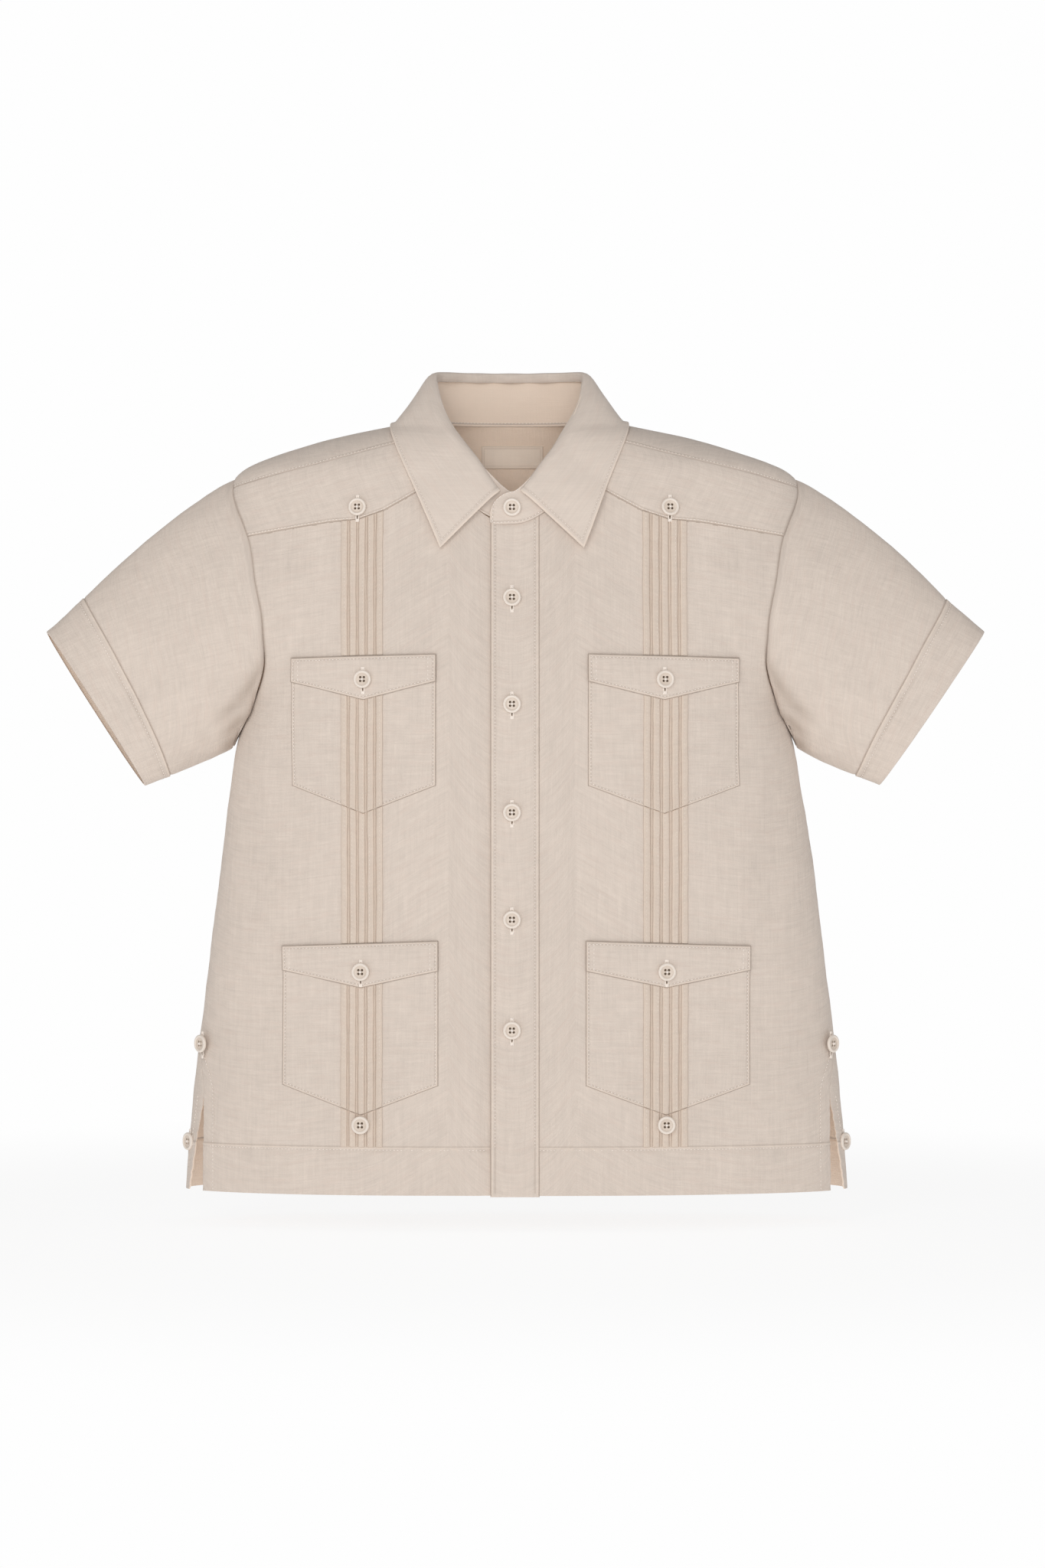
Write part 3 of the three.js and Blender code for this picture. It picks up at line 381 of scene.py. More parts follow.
def shell(name, outer, inner, material, around=False, turned=False, seam=None, inside=-0.75):
    """A closed piece between an outer and an inner grid. around joins the last column to the first.

    seam is 1 where the cloth is pinched into a seam or a groove, where the material is painted darker as
    shade, and below 0 on a pressed edge, where it is painted lighter as a highlight.
    inside is the same for the inner side, where it is painted light that makes the inside lighter.
    """
    rows, cols = outer.shape[:2]
    grain = arc_lengths(np.concatenate((outer, outer[:, :1]), 1) if around else outer)
    if turned:
        grain = grain[..., ::-1]
    r, c = np.meshgrid(np.arange(rows - 1), np.arange(cols if around else cols - 1), indexing="ij")
    r, c = r.ravel(), c.ravel()
    nxt = (c + 1) % cols
    n = rows * cols

    def quads(*corners):
        return np.stack([layer * n + row * cols + col for layer, row, col in corners], 1)

    def uv(*corners):
        return np.stack([grain[row, col] for row, col in corners], 1)

    faces = [
        quads((0, r, c), (0, r + 1, c), (0, r + 1, nxt), (0, r, nxt)),
        quads((1, r, c), (1, r, nxt), (1, r + 1, nxt), (1, r + 1, c)),
    ]
    maps = [
        uv((r, c), (r + 1, c), (r + 1, c + 1), (r, c + 1)),
        uv((r, c), (r, c + 1), (r + 1, c + 1), (r + 1, c)),
    ]
    c = np.arange(cols if around else cols - 1)
    nxt = (c + 1) % cols
    top, low = np.zeros_like(c), np.full_like(c, rows - 1)
    faces += [
        quads((0, top, c), (0, top, nxt), (1, top, nxt), (1, top, c)),
        quads((0, low, c), (1, low, c), (1, low, nxt), (0, low, nxt)),
    ]
    maps += [
        uv((top, c), (top, c + 1), (top, c + 1), (top, c)),
        uv((low, c), (low, c), (low, c + 1), (low, c + 1)),
    ]
    if not around:
        r = np.arange(rows - 1)
        first, last = np.zeros_like(r), np.full_like(r, cols - 1)
        faces += [
            quads((0, r, first), (1, r, first), (1, r + 1, first), (0, r + 1, first)),
            quads((0, r, last), (0, r + 1, last), (1, r + 1, last), (1, r, last)),
        ]
        maps += [
            uv((r, first), (r, first), (r + 1, first), (r + 1, first)),
            uv((r, last), (r + 1, last), (r + 1, last), (r, last)),
        ]
    points = np.concatenate((outer.reshape(-1, 3), inner.reshape(-1, 3)))
    faces, maps = np.concatenate(faces), np.concatenate(maps)
    a, b, d = points[faces[:, 0]], points[faces[:, 1]], points[faces[:, 2]]
    if np.einsum("ij,ij->", a, np.cross(b, d)) < 0:
        faces, maps = faces[:, ::-1], maps[:, ::-1]
    obj = build(name, points, faces, maps, material)
    # The painted shade and painted light go into a point attribute that the linen material reads.
    depth = np.zeros((2, rows, cols), np.float32)
    if seam is not None:
        depth[:] = np.clip(np.broadcast_to(seam, (rows, cols)), -1, 1)
    depth[1] = np.where(depth[1] > 0.3, depth[1], inside)
    obj.data.attributes.new("Seam", "FLOAT", "POINT").data.foreach_set("value", depth.ravel())
    return obj


def grid_normals(grid, around=False):
    if around:
        sideways = np.roll(grid, -1, 1) - np.roll(grid, 1, 1)
    else:
        sideways = np.gradient(grid, axis=1)
    normal = np.cross(np.gradient(grid, axis=0), sideways)
    return normal / np.maximum(np.linalg.norm(normal, axis=-1, keepdims=True), 1e-9)


def rounded(distance, thick):
    """Height of a sewn edge: it rises in a quarter round over thick."""
    t = np.clip(distance / max(thick, 0.6), 0, 1)
    return thick * np.sqrt(1 - (1 - t) ** 2)


def dip(distance, at, deep=0.22, wide=0.5):
    """The little valley that a row of stitches pulls down."""
    return -deep * np.exp(-(((distance - at) / wide) ** 2))


def pinch(distance, wide=0.45):
    """A soft line that is 1 at its middle, falling off across wide: mostly the painted shade along a seam."""
    return np.exp(-((distance / wide) ** 2))


def raised(distance, thick):
    """Height and painted shade of a sewn-on piece's edge: a narrow flat flange, painted dark as a shadow line,
    and then a rounded rise, with a painted highlight just past the flange.
    """
    seam = 1 - smooth(FLANGE * 0.9, FLANGE + 0.3, distance) - 0.45 * pinch(distance - FLANGE - 0.7, 0.35)
    return rounded(np.maximum(distance - FLANGE, 0), thick), seam


# ---------------------------------------------------------------- stitches
stitches = {"points": [], "faces": [], "count": 0}
STITCH_ENDS = [(0, 2, 1), (0, 3, 2), (0, 4, 3), (0, 1, 4), (9, 5, 6), (9, 6, 7), (9, 7, 8), (9, 8, 5)]
STITCH_SIDES = [(1, 2, 6, 5), (2, 3, 7, 6), (3, 4, 8, 7), (4, 1, 5, 8)]


def sew(path, normals, length=1.25, gap=1.0, half=0.28, high=0.26):
    """A row of stitches along a path of points, each a small spindle that lies on the cloth."""
    path, normals = np.asarray(path, float), np.asarray(normals, float)
    steps = np.linalg.norm(np.diff(path, axis=0), axis=1)
    s = np.concatenate(((0,), np.cumsum(steps)))
    count = max(1, int((s[-1] + gap) // (length + gap)))
    pitch = (s[-1] + gap) / count

    def at(where, values):
        return np.stack([np.interp(where, s, values[:, k]) for k in range(3)], 1)

    start = np.arange(count) * pitch
    a, b = at(start, path), at(start + pitch - gap, path)
    up = at(start + (pitch - gap) / 2, normals)
    up /= np.linalg.norm(up, axis=1, keepdims=True)
    way = b - a
    way /= np.maximum(np.linalg.norm(way, axis=1, keepdims=True), 1e-9)
    side = np.cross(way, up)
    q1, q2 = lerp(a, b, 0.22), lerp(a, b, 0.78)
    ring = []
    for q in (q1, q2):
        ring += [q + side * half, q + up * high, q - side * half, q - up * high * 0.6]
    points = np.stack([a - up * 0.12, *ring, b - up * 0.12], 1)
    offsets = 10 * np.arange(count)[:, None, None] + stitches["count"]
    stitches["count"] += 10 * count
    stitches["points"].append(points.reshape(-1, 3))
    stitches["faces"] += (np.array(STITCH_ENDS)[None] + offsets).reshape(-1, 3).tolist()
    stitches["faces"] += (np.array(STITCH_SIDES)[None] + offsets).reshape(-1, 4).tolist()


def sew_on(x, z, lift, **kind):
    """A row of stitches on the front at a lift, through points (x, z)."""
    x, z = dense(x, z)
    turn = turn_at(x, z)
    sew(lifted(turn, z, lift), body_normal(turn, z), **kind)


def sew_turn(turn, z, lift, **kind):
    sew(lifted(turn, z, lift), body_normal(turn, z), **kind)


def dense(x, z, step=2.0):
    """More points along a line, without cutting its corners."""
    x, z = np.asarray(x, float), np.asarray(z, float)
    xs, zs = [x[0]], [z[0]]
    for i in range(len(x) - 1):
        n = max(1, int(math.hypot(x[i + 1] - x[i], z[i + 1] - z[i]) / step))
        xs += list(np.linspace(x[i], x[i + 1], n + 1)[1:])
        zs += list(np.linspace(z[i], z[i + 1], n + 1)[1:])
    return np.array(xs), np.array(zs)


def grid_path(grid, normals, rows, cols):
    """Points and normals of a grid at fractional rows and columns."""
    rows, cols = np.asarray(rows, float), np.asarray(cols, float)
    r0 = np.clip(rows.astype(int), 0, grid.shape[0] - 2)
    c0 = np.clip(cols.astype(int), 0, grid.shape[1] - 2)
    fr, fc = (rows - r0)[:, None], (cols - c0)[:, None]

    def pick(values):
        upper = lerp(values[r0, c0], values[r0, c0 + 1], fc)
        lower = lerp(values[r0 + 1, c0], values[r0 + 1, c0 + 1], fc)
        return lerp(upper, lower, fr)

    return pick(grid), pick(normals)


# ---------------------------------------------------------------- materials
class Tree:
    """Builds a material's nodes."""

    def __init__(self, name):
        self.material = bpy.data.materials.new(name)
        self.material.use_nodes = True
        self.nodes = self.material.node_tree.nodes
        self.links = self.material.node_tree.links
        self.shader = next(n for n in self.nodes if n.type == "BSDF_PRINCIPLED")

    def add(self, kind, inputs=(), **settings):
        node = self.nodes.new(kind)
        for key, value in settings.items():
            setattr(node, key, value)
        for key, value in dict(inputs).items():
            self.feed(node.inputs[key], value)
        return node

    def feed(self, socket, value):
        """Links a socket into another one, or gives it a value."""
        if isinstance(value, bpy.types.NodeSocket):
            self.links.new(value, socket)
        else:
            socket.default_value = value

    def math(self, operation, a, b=0.0):
        return self.add("ShaderNodeMath", {0: a, 1: b}, operation=operation).outputs[0]

    def scaled(self, vector, factors):
        return self.add("ShaderNodeVectorMath", {0: vector, 1: factors}, operation="MULTIPLY").outputs[0]

    def noise(self, vector, factors, detail=2.0, rough=0.5):
        inputs = {"Vector": self.scaled(vector, factors), "Scale": 1.0, "Detail": detail, "Roughness": rough}
        return self.add("ShaderNodeTexNoise", inputs).outputs[0]

    def weighted(self, terms):
        """0.5 plus each value's distance from 0.5 times its weight."""
        total = 0.5
        for value, weight in terms:
            part = self.math("MULTIPLY", self.math("SUBTRACT", value, 0.5), weight)
            total = self.math("ADD", part, total)
        return total

    def mix(self, factor, a, b):
        node = self.add("ShaderNodeMix", data_type="RGBA")
        for key, value in (("Factor", factor), ("A", a), ("B", b)):
            self.feed(next(s for s in node.inputs if s.name == key and s.enabled), value)
        return next(s for s in node.outputs if s.enabled)

    def set(self, **sockets):
        for key, value in sockets.items():
            self.feed(self.shader.inputs[key.replace("_", " ")], value)


def shade(colour, factor):
    """A colour with alpha, times one factor or one for each channel."""
    factors = factor if isinstance(factor, tuple) else (factor,) * 3
    return (*[c * f for c, f in zip(colour, factors)], 1)


WEFT_PITCH, WARP_PITCH = 0.00060, 0.00056  # metres from one wave of the weave to the next
# The blush's pink, and the tints of the painted shade and of the painted light.
PINK, PAINTED_SHADE_TINT, PAINTED_LIGHT_TINT = (0.985, 0.935, 0.925), (0.42, 0.36, 0.31), (1.34, 1.28, 1.2)


def linen(name, colour, contrast=1.0, bump=0.5):
    """A plain-woven linen along the cloth's own grain, with slubs both ways and soft clouding, and with
    painted shade and painted light from the attribute that shell() writes.
    """
    t = Tree(name)
    grain = t.add("ShaderNodeUVMap", uv_map="Grain").outputs[0]
    weft = t.noise(grain, (70, 1150, 1), 2.5, 0.6)
    warp = t.noise(grain, (1150, 60, 1), 2.5, 0.6)
    thick_weft = t.noise(grain, (26, 420, 1), 2, 0.55)
    thick_warp = t.noise(grain, (420, 22, 1), 2, 0.55)
    cloud = t.noise(grain, (120, 130, 1), 3, 0.6)
    broad = t.noise(grain, (28, 22, 1), 2, 0.5)
    tone = t.weighted([
        (weft, 1.1 * contrast), (warp, 0.9 * contrast), (thick_weft, 0.9 * contrast),
        (thick_warp, 0.8 * contrast), (cloud, 0.9 * contrast), (broad, 0.7 * contrast),
    ])
    blush = t.noise(grain, (60, 300, 1), 2, 0.5)
    light, dark = shade(colour, 1.075), shade(colour, 0.925)
    base = t.mix(tone, dark, light)
    base = t.mix(t.math("MULTIPLY", t.math("SUBTRACT", blush, 0.5), 1.6), base, shade(colour, PINK))
    # The threads themselves, over and under each other.
    split = t.add("ShaderNodeSeparateXYZ", {0: grain})
    wobble = t.math("MULTIPLY", t.noise(grain, (220, 240, 1), 1), 1.6)
    waves = []
    for output, pitch in zip(split.outputs, (WARP_PITCH, WEFT_PITCH)):
        phase = t.math("ADD", t.math("MULTIPLY", output, 2 * math.pi / pitch), wobble)
        waves.append(t.math("SINE", phase))
    weave = t.math("MULTIPLY", *waves)
    height = t.math("ADD", t.math("MULTIPLY", weave, 0.22), t.math("MULTIPLY", tone, 1.4))
    relief = t.add("ShaderNodeBump", {"Height": height, "Strength": bump, "Distance": 0.00035})
    # Painted shade and painted light: above 0 the attribute paints the colour darker, as shade in seams,
    # grooves and folds; below 0 it paints it lighter, as a highlight on pressed edges and as light on the
    # inner side.
    seam = t.add("ShaderNodeAttribute", attribute_name="Seam").outputs["Fac"]
    painted_shade_share = t.math("MULTIPLY", t.math("MAXIMUM", seam, 0.0), PAINTED_SHADE_STRENGTH)
    base = t.mix(painted_shade_share, base, shade(colour, PAINTED_SHADE_TINT))
    painted_light_share = t.math("MAXIMUM", t.math("MULTIPLY", seam, -1.0), 0.0)
    base = t.mix(painted_light_share, base, shade(colour, PAINTED_LIGHT_TINT))
    rough = t.math("ADD", 0.78, t.math("MULTIPLY", tone, 0.2))
    t.set(Base_Color=base, Roughness=rough, Normal=relief.outputs[0])
    t.set(Sheen_Weight=0.12, Sheen_Roughness=0.45, Specular_IOR_Level=0.25)
    return t.material


def speckled(name, colour, scale, spread, roughness, coat=0.0, bump=0.0):
    """A plain material with a little life in its colour and gloss, for buttons and thread."""
    t = Tree(name)
    place = t.add("ShaderNodeTexCoord").outputs["Object"]
    cloud = t.noise(place, (scale, scale, scale), 3, 0.6)
    base = t.mix(cloud, shade(colour, 1 - spread), shade(colour, 1 + spread))
    rough = t.math("ADD", roughness - 0.06, t.math("MULTIPLY", cloud, 0.12))
    t.set(Base_Color=base, Roughness=rough)
    t.set(Coat_Weight=coat, Coat_Roughness=0.25, Specular_IOR_Level=0.4)
    if bump:
        fine = t.noise(place, (2200, 2200, 2200), 2, 0.5)
        relief = t.add("ShaderNodeBump", {"Height": fine, "Strength": bump, "Distance": 0.0002})
        t.set(Normal=relief.outputs[0])
    return t.material


CLOTH_MAT = linen("linen", CLOTH_COLOUR)
TUCK_MAT = linen("linen_tucks", TUCK_COLOUR, 0.8)
COLLAR_MAT = linen("linen_collar", COLLAR_COLOUR, 0.7, 0.35)
THREAD_MAT = speckled("thread", THREAD_COLOUR, 900, 0.06, 0.7, bump=0.4)
BUTTON_MAT = speckled("button_resin", BUTTON_COLOUR, 300, 0.045, 0.38, 0.25)
BUTTON_RIM_HIGHLIGHT_MAT = speckled("button_rim_highlight", BUTTON_RIM_HIGHLIGHT_COLOUR, 300, 0.045, 0.32, 0.3)
LABEL_MAT = linen("label_satin", LABEL_COLOUR, 0.35, 0.25)
# A near-black material for the painted shade inside buttonholes and behind buttons' holes.
HOLE_SHADE_MAT = speckled("buttonhole_painted_shade", (0.16, 0.115, 0.08), 900, 0.2, 0.9)


def placed(obj, node=None):
    """Puts a piece on the shirt's one body."""
    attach(obj, "root")
    if node:
        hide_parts(node)
    return obj


# ---------------------------------------------------------------- hem, vents and seams on the panels
HEM_LINE_Z = -460.4
HEM_ROWS = [HEM_LINE_Z + d for d in (-2.6, -2.1, -1.6, -1.1, -0.6, -0.2, 0.1, 0.4, 0.7, 1.1, 1.7)]
HEM_STITCH = 1.6  # down from the hem's line
WALL = 0.5  # thickness of one layer of cloth
THREAD_SUNK = 0.12  # how deep a row of stitches on a sewn-on piece sits in it
PATCH_LIFT = 0.05  # how far a piece that lies on a panel stands off it
PLACKET_STITCH, POCKET_STITCH, COLLAR_STITCH, BAND_STITCH, LEAF_STITCH = 2.9, 1.9, 1.6, 3.9, 3.0
PLACKET_THICK, POCKET_THICK, FLAP_LOW, FLAP_THICK = 1.0, 0.8, 1.25, 1.0


def in_hem(z):
    return smooth(HEM_LINE_Z + 0.6, HEM_LINE_Z - 0.6, z)


def beside_arm(z):
    return smooth(ARM_BOTTOM_Z - 14, ARM_BOTTOM_Z + 4, z)


def hem_lift(z):
    """The hem is two layers, and its row of stitches pulls in."""
    return 0.4 * in_hem(z) + dip(z, HEM_LINE_Z - HEM_STITCH, 0.25, 0.8)


def pucker(distance, along, seed, high=0.16, reach=9.0):
    """Small ripples that a row of stitches leaves beside it."""
    wave = np.sin(along * 0.82 + 1.7 * np.sin(along * 0.19 + seed) + seed)
    return high * wave * np.exp(-((distance / reach) ** 2))


def side_line(is_back):
    """Turn and z down a panel's outer edge: the armhole from the yoke, and then the side seam and vent."""
    angles = spaced(YOKE_ANGLE, 180, 2.2)
    arm_turn, arm_z = armhole(360 - angles if is_back else angles)
    zs = bordered(ARM_BOTTOM_Z, HEM_Z, 2.4, low=False, keys=(VENT_TOP_Z, *HEM_ROWS))[1:]
    # Above the vent the back panel's edge runs a little way under the front's.
    under = 0.25 * smooth(VENT_TOP_Z - 4, VENT_TOP_Z + 4, zs) if is_back else 0
    return np.concatenate((arm_turn, seam_turn(zs, is_back) - under)), np.concatenate((arm_z, zs))


def edge_dip(distance):
    return -0.55 * np.exp(-((distance / 1.1) ** 2))


def vent_stitch_inset(z):
    return lerp(2.6, 6.4, smooth(-398, -432, z))


STRAIGHT_X = 143  # the front's columns stand straight as far out as this


def front_panel(name, sign):
    overlap = -PLACKET_LEFT if sign > 0 else UNDERLAP
    edge_turn, edge_zs = side_line(False)
    edge_x = across(edge_turn, edge_zs)
    fixed = bordered(-overlap, STRAIGHT_X, 2.3, high=False, keys=(39.7, 98))
    outer_part = 1 - (1 - np.linspace(0, 1, 15)[1:]) ** 1.7
    share = ((edge_zs - HEM_Z) / (edge_zs[0] - HEM_Z))[:, None]
    xs = np.concatenate((
        np.broadcast_to(fixed, (len(edge_x), len(fixed))),
        STRAIGHT_X + (edge_x[:, None] - STRAIGHT_X) * outer_part,
    ), 1)
    z = edge_zs[:, None] + (front_top_z(xs) - GAP - edge_zs[0]) * share
    turn = turn_at(xs, z)
    turn[:, -1], z[:, -1] = edge_turn, edge_zs
    to_edge = edge_x[:, None] - xs
    arm_share = beside_arm(z)
    lift = hem_lift(z) + edge_dip(to_edge) * arm_share
    low = smooth(VENT_TOP_Z + 40, VENT_TOP_Z + 4, z)
    lift += low * (dip(to_edge, vent_stitch_inset(z), 0.25, 0.7) + pucker(to_edge, z, 1.0, 0.2, 10))
    past_placket = smooth(PLACKET_RIGHT + 0.5, PLACKET_RIGHT + 4, xs)
    by_placket = pucker(xs - PLACKET_RIGHT, z, 3.0, 0.13, 11) * past_placket
    lift += pucker(np.abs(z - HEM_LINE_Z), xs, 2.0, 0.12) + by_placket
    if sign < 0:
        lift -= (CLOTH + GAP) * (1 - smooth(15, 24, xs))
    # Painted shade above the hem's edge, along its stitches and by the armhole's edge, and a painted highlight
    # on the hem's edge.
    seam = 0.6 * pinch(z - HEM_LINE_Z - 0.45, 0.4) + 0.3 * pinch(z - HEM_LINE_Z + HEM_STITCH, 0.5)
    seam = seam + arm_share * pinch(to_edge, 0.9)
    seam = seam - 0.35 * pinch(z - HEM_LINE_Z + 0.35, 0.35)
    outer = lifted(turn * sign, z, lift)
    inner = lifted(turn * sign, z, lift - WALL - 0.5 * in_hem(z))
    placed(shell(f"front_{name}", outer, inner, CLOTH_MAT, seam=seam), f"front_{name}")

    x = np.linspace(17, float(across(seam_turn(HEM_LINE_Z, False), HEM_LINE_Z)) - 1, 90)
    sew_on(sign * x, np.full_like(x, HEM_LINE_Z - HEM_STITCH), 0.12)
    z = np.linspace(-404, HEM_Z + 1, 40)
    x = across(seam_turn(z, False), z) - vent_stitch_inset(z)
    sew_on(sign * x, z, 0.1)


def back_panel():
    edge_turn, edge_zs = side_line(True)
    width = 430.0
    u = bordered(0, width, 2.9) / width
    share = ((edge_zs - HEM_Z) / (edge_zs[0] - HEM_Z))[:, None]
    turn = edge_turn[:, None] + (360 - 2 * edge_turn[:, None]) * u
    top = lerp(edge_zs[0], BACK_YOKE_Z, np.sin(math.pi * u)) - GAP
    z = edge_zs[:, None] + (top - edge_zs[0]) * share
    z[:, 0] = z[:, -1] = edge_zs
    to_edge = np.minimum(u, 1 - u) * width
    arm_share = beside_arm(z)
    joined = smooth(VENT_TOP_Z - 2, VENT_TOP_Z + 6, z)
    lift = hem_lift(z) + edge_dip(to_edge) * np.maximum(arm_share, 1.05 * joined)
    low = smooth(VENT_TOP_Z + 10, VENT_TOP_Z - 6, z)
    lift += low * (dip(to_edge, 6.4, 0.25, 0.8) + pucker(to_edge, z, 4.0, 0.25, 9))
    lift += pucker(np.abs(z - HEM_LINE_Z), 2.1 * (turn - 180), 5.0, 0.14)
    # Painted shade above the hem's edge, by the armhole's edge and along the joined seam above the vent.
    seam = 0.75 * pinch(z - HEM_LINE_Z - 0.45) + np.maximum(arm_share, 0.7 * joined) * pinch(to_edge, 0.9)
    outer = lifted(turn, z, lift)
    inner = lifted(turn, z, lift - WALL - 0.5 * in_hem(z))
    placed(shell("back", outer, inner, CLOTH_MAT, seam=seam), "back")

    first = float(seam_turn(HEM_LINE_Z, True))
    turns = np.linspace(first + 1, 359 - first, 220)
    sew_turn(turns, np.full_like(turns, HEM_LINE_Z - HEM_STITCH), 0.12)
    for sign in (1, -1):
        z = np.linspace(VENT_TOP_Z, HEM_Z + 1, 30)
        sew_turn(sign * (seam_turn(z, True) + 4.6), z, 0.1)


# ---------------------------------------------------------------- yokes
YOKE_LIFT = 0.75


def coons(top, bottom, left, right, u, v):
    """Fills four edges of (turn, z) arrays."""
    u, v = u[None, :, None], v[:, None, None]
    top, bottom = np.stack(top, -1)[None], np.stack(bottom, -1)[None]
    left, right = np.stack(left, -1)[:, None], np.stack(right, -1)[:, None]
    corners = lerp(lerp(top[:, :1], top[:, -1:], u), lerp(bottom[:, :1], bottom[:, -1:], u), v)
    grid = lerp(top, bottom, v) + lerp(left, right, u) - corners
    return grid[..., 0], grid[..., 1]


def front_yoke(name, sign):
    width, height = 132.0, 50.0
    u = bordered(0, width, 2.4) / width
    v = bordered(0, height, 2.4) / height
    left = neckline(lerp(SHOULDER_SEAM_NECK, YOKE_NECK, v))
    right = armhole(lerp(SHOULDER_ANGLE, YOKE_ANGLE, v))

    def seam(edge, a, b):
        x = lerp(float(across(*a)), float(across(*b)), u)
        z = edge(x)
        return turn_at(x, z), z

    top = seam(shoulder_edge_z, (left[0][0], left[1][0]), (right[0][0], right[1][0]))
    bottom = seam(lambda x: yoke_edge_z(x) - 0.7, (left[0][-1], left[1][-1]), (right[0][-1], right[1][-1]))
    for side, end in ((left, 0), (right, -1)):
        for row, line in ((0, top), (-1, bottom)):
            side[0][row], side[1][row] = line[0][end], line[1][end]
    turn, z = coons(top, bottom, left, right, u, v)
    from_top, from_low = v[:, None] * height, (1 - v[:, None]) * height
    to_arm = (1 - u[None]) * width
    rise, seam = raised(from_low, 0.8)
    lift = YOKE_LIFT - 0.8 + rise + dip(from_low, 1.8) + pucker(from_low, u[None] * width, 6.0, 0.1)
    lift = lift - 0.35 * np.exp(-((from_top / 1.0) ** 2)) + edge_dip(to_arm) * 1.6
    under = lerp(0.04, -WALL, smooth(1.2, 3, from_low))
    outer = lifted(turn * sign, z, lift)
    inner = lifted(turn * sign, z, np.minimum(lift - 0.3, under))
    # Painted shade by the armhole, along the shoulder seam and along the stitches, on top of the painted
    # shadow line and highlight of the lower edge.
    seam = seam + np.maximum(pinch(to_arm, 0.9), 0.6 * pinch(from_top, 0.5))
    seam = seam + STITCH_SHADE * pinch(from_low - 1.8, 0.4)
    placed(shell(f"front_yoke_{name}", outer, inner, CLOTH_MAT, seam=seam), f"front_yoke_{name}")

    x = np.linspace(40.5, arm_point(YOKE_ANGLE)[0] - 1.5, 60)
    sew_on(sign * x, yoke_edge_z(x) + 1.2, YOKE_LIFT - 0.1)


def back_yoke():
    """One piece over both shoulders and round the back of the neck, in spokes from the neckline outwards."""
    f = bordered(0, 22, 1.7, high=False) / 22
    front = SHOULDER_ANGLE * (1 - f)
    arms = np.linspace(0, YOKE_ANGLE, 30)[1:]
    back = np.linspace(0, 1, 40)[1:]
    rounds = np.concatenate((SHOULDER_SEAM_NECK * (1 - f**0.6), -90 * arms / 144, -90 * (5 + 7 * back) / 12))
    front_arm, back_arm = armhole(front), armhole(360 - arms)
    corner_turn, corner_z = (float(a) for a in armhole(360 - YOKE_ANGLE))
    out_turn = np.concatenate((front_arm[0], back_arm[0], lerp(corner_turn, 180, back)))
    back_z = lerp(corner_z, BACK_YOKE_Z, np.sin(math.pi / 2 * back)) - 0.8
    out_z = np.concatenate((front_arm[1], back_arm[1], back_z))
    neck_turn, neck_z = neckline(rounds)
    depth = 125.0
    v = bordered(0, depth, 2.6)[:, None] / depth
    turn, z = lerp(neck_turn, out_turn, v), lerp(neck_z, out_z, v)
    # The front edge follows the shoulder seam's own line, and the cloth behind it eases back.
    x = lerp(NECK_HALF * float(cosd(SHOULDER_SEAM_NECK)), arm_point(SHOULDER_ANGLE)[0], v[:, 0])
    edge_zs = shoulder_edge_z(x)
    ease = np.concatenate(((1 - f) ** 1.5, np.zeros(len(arms) + len(back))))
    turn = turn + (turn_at(x, edge_zs) - turn[:, 0])[:, None] * ease
    z = z + (edge_zs - z[:, 0])[:, None] * ease

    p = body(turn, z)
    from_front = np.cumsum(np.linalg.norm(np.diff(p, axis=1, prepend=p[:, :1]), axis=-1), 1)
    from_out = (1 - v) * depth
    spokes = np.arange(turn.shape[1])[None]
    behind = smooth(len(f) + len(arms) - 1, len(f) + len(arms) + 1, spokes)
    rise, seam = raised(from_out, 0.8)
    lift = YOKE_LIFT + behind * (rise - 0.8 + dip(from_out, 1.8))
    lift = lift + (1 - behind) * edge_dip(from_out) * 1.6
    lift = lift + rounded(from_front, 0.5) - 0.5 + dip(from_front, 1.9)
    # Painted shadow line and highlight along the yoke's lower back edge, and painted shade by the armholes,
    # along the shoulder seams and along their stitches.
    seam = np.maximum(behind * seam, (1 - behind) * pinch(from_out, 0.9))
    seam = seam + 0.8 * pinch(from_front, 0.4) + STITCH_SHADE * pinch(from_front - 1.9, 0.4)
    under = lerp(0.04, -WALL, smooth(1.2, 3, from_out) * behind + 1 - behind)

    def whole(half, mirror=lambda a: a):
        return np.concatenate((half, mirror(half[:, -2::-1])), 1)

    turn, z = whole(turn, lambda a: 360 - a), whole(z)
    outer = lifted(turn, z, whole(lift))
    inner = lifted(turn, z, np.minimum(whole(lift) - 0.3, whole(under)))
    # The yoke's inner side gets the strongest painted light, to make it lighter.
    yoke = shell("back_yoke", outer, inner, CLOTH_MAT, turned=True, seam=whole(seam), inside=-1)
    placed(yoke, "back_yoke")

    for sign in (1, -1):
        x = np.linspace(52, arm_point(SHOULDER_ANGLE)[0] - 2, 50)
        z = shoulder_edge_z(x) + 1.0
        turns = turn_at(x, z)
        sew_turn(turns * sign, z, YOKE_LIFT - 0.15)
    turns = np.linspace(corner_turn + 1, 359 - corner_turn, 160)
    share = (turns - corner_turn) / (360 - 2 * corner_turn)
    sew_turn(turns, lerp(corner_z, BACK_YOKE_Z, np.sin(math.pi * share)) + 1.1, YOKE_LIFT - 0.15)


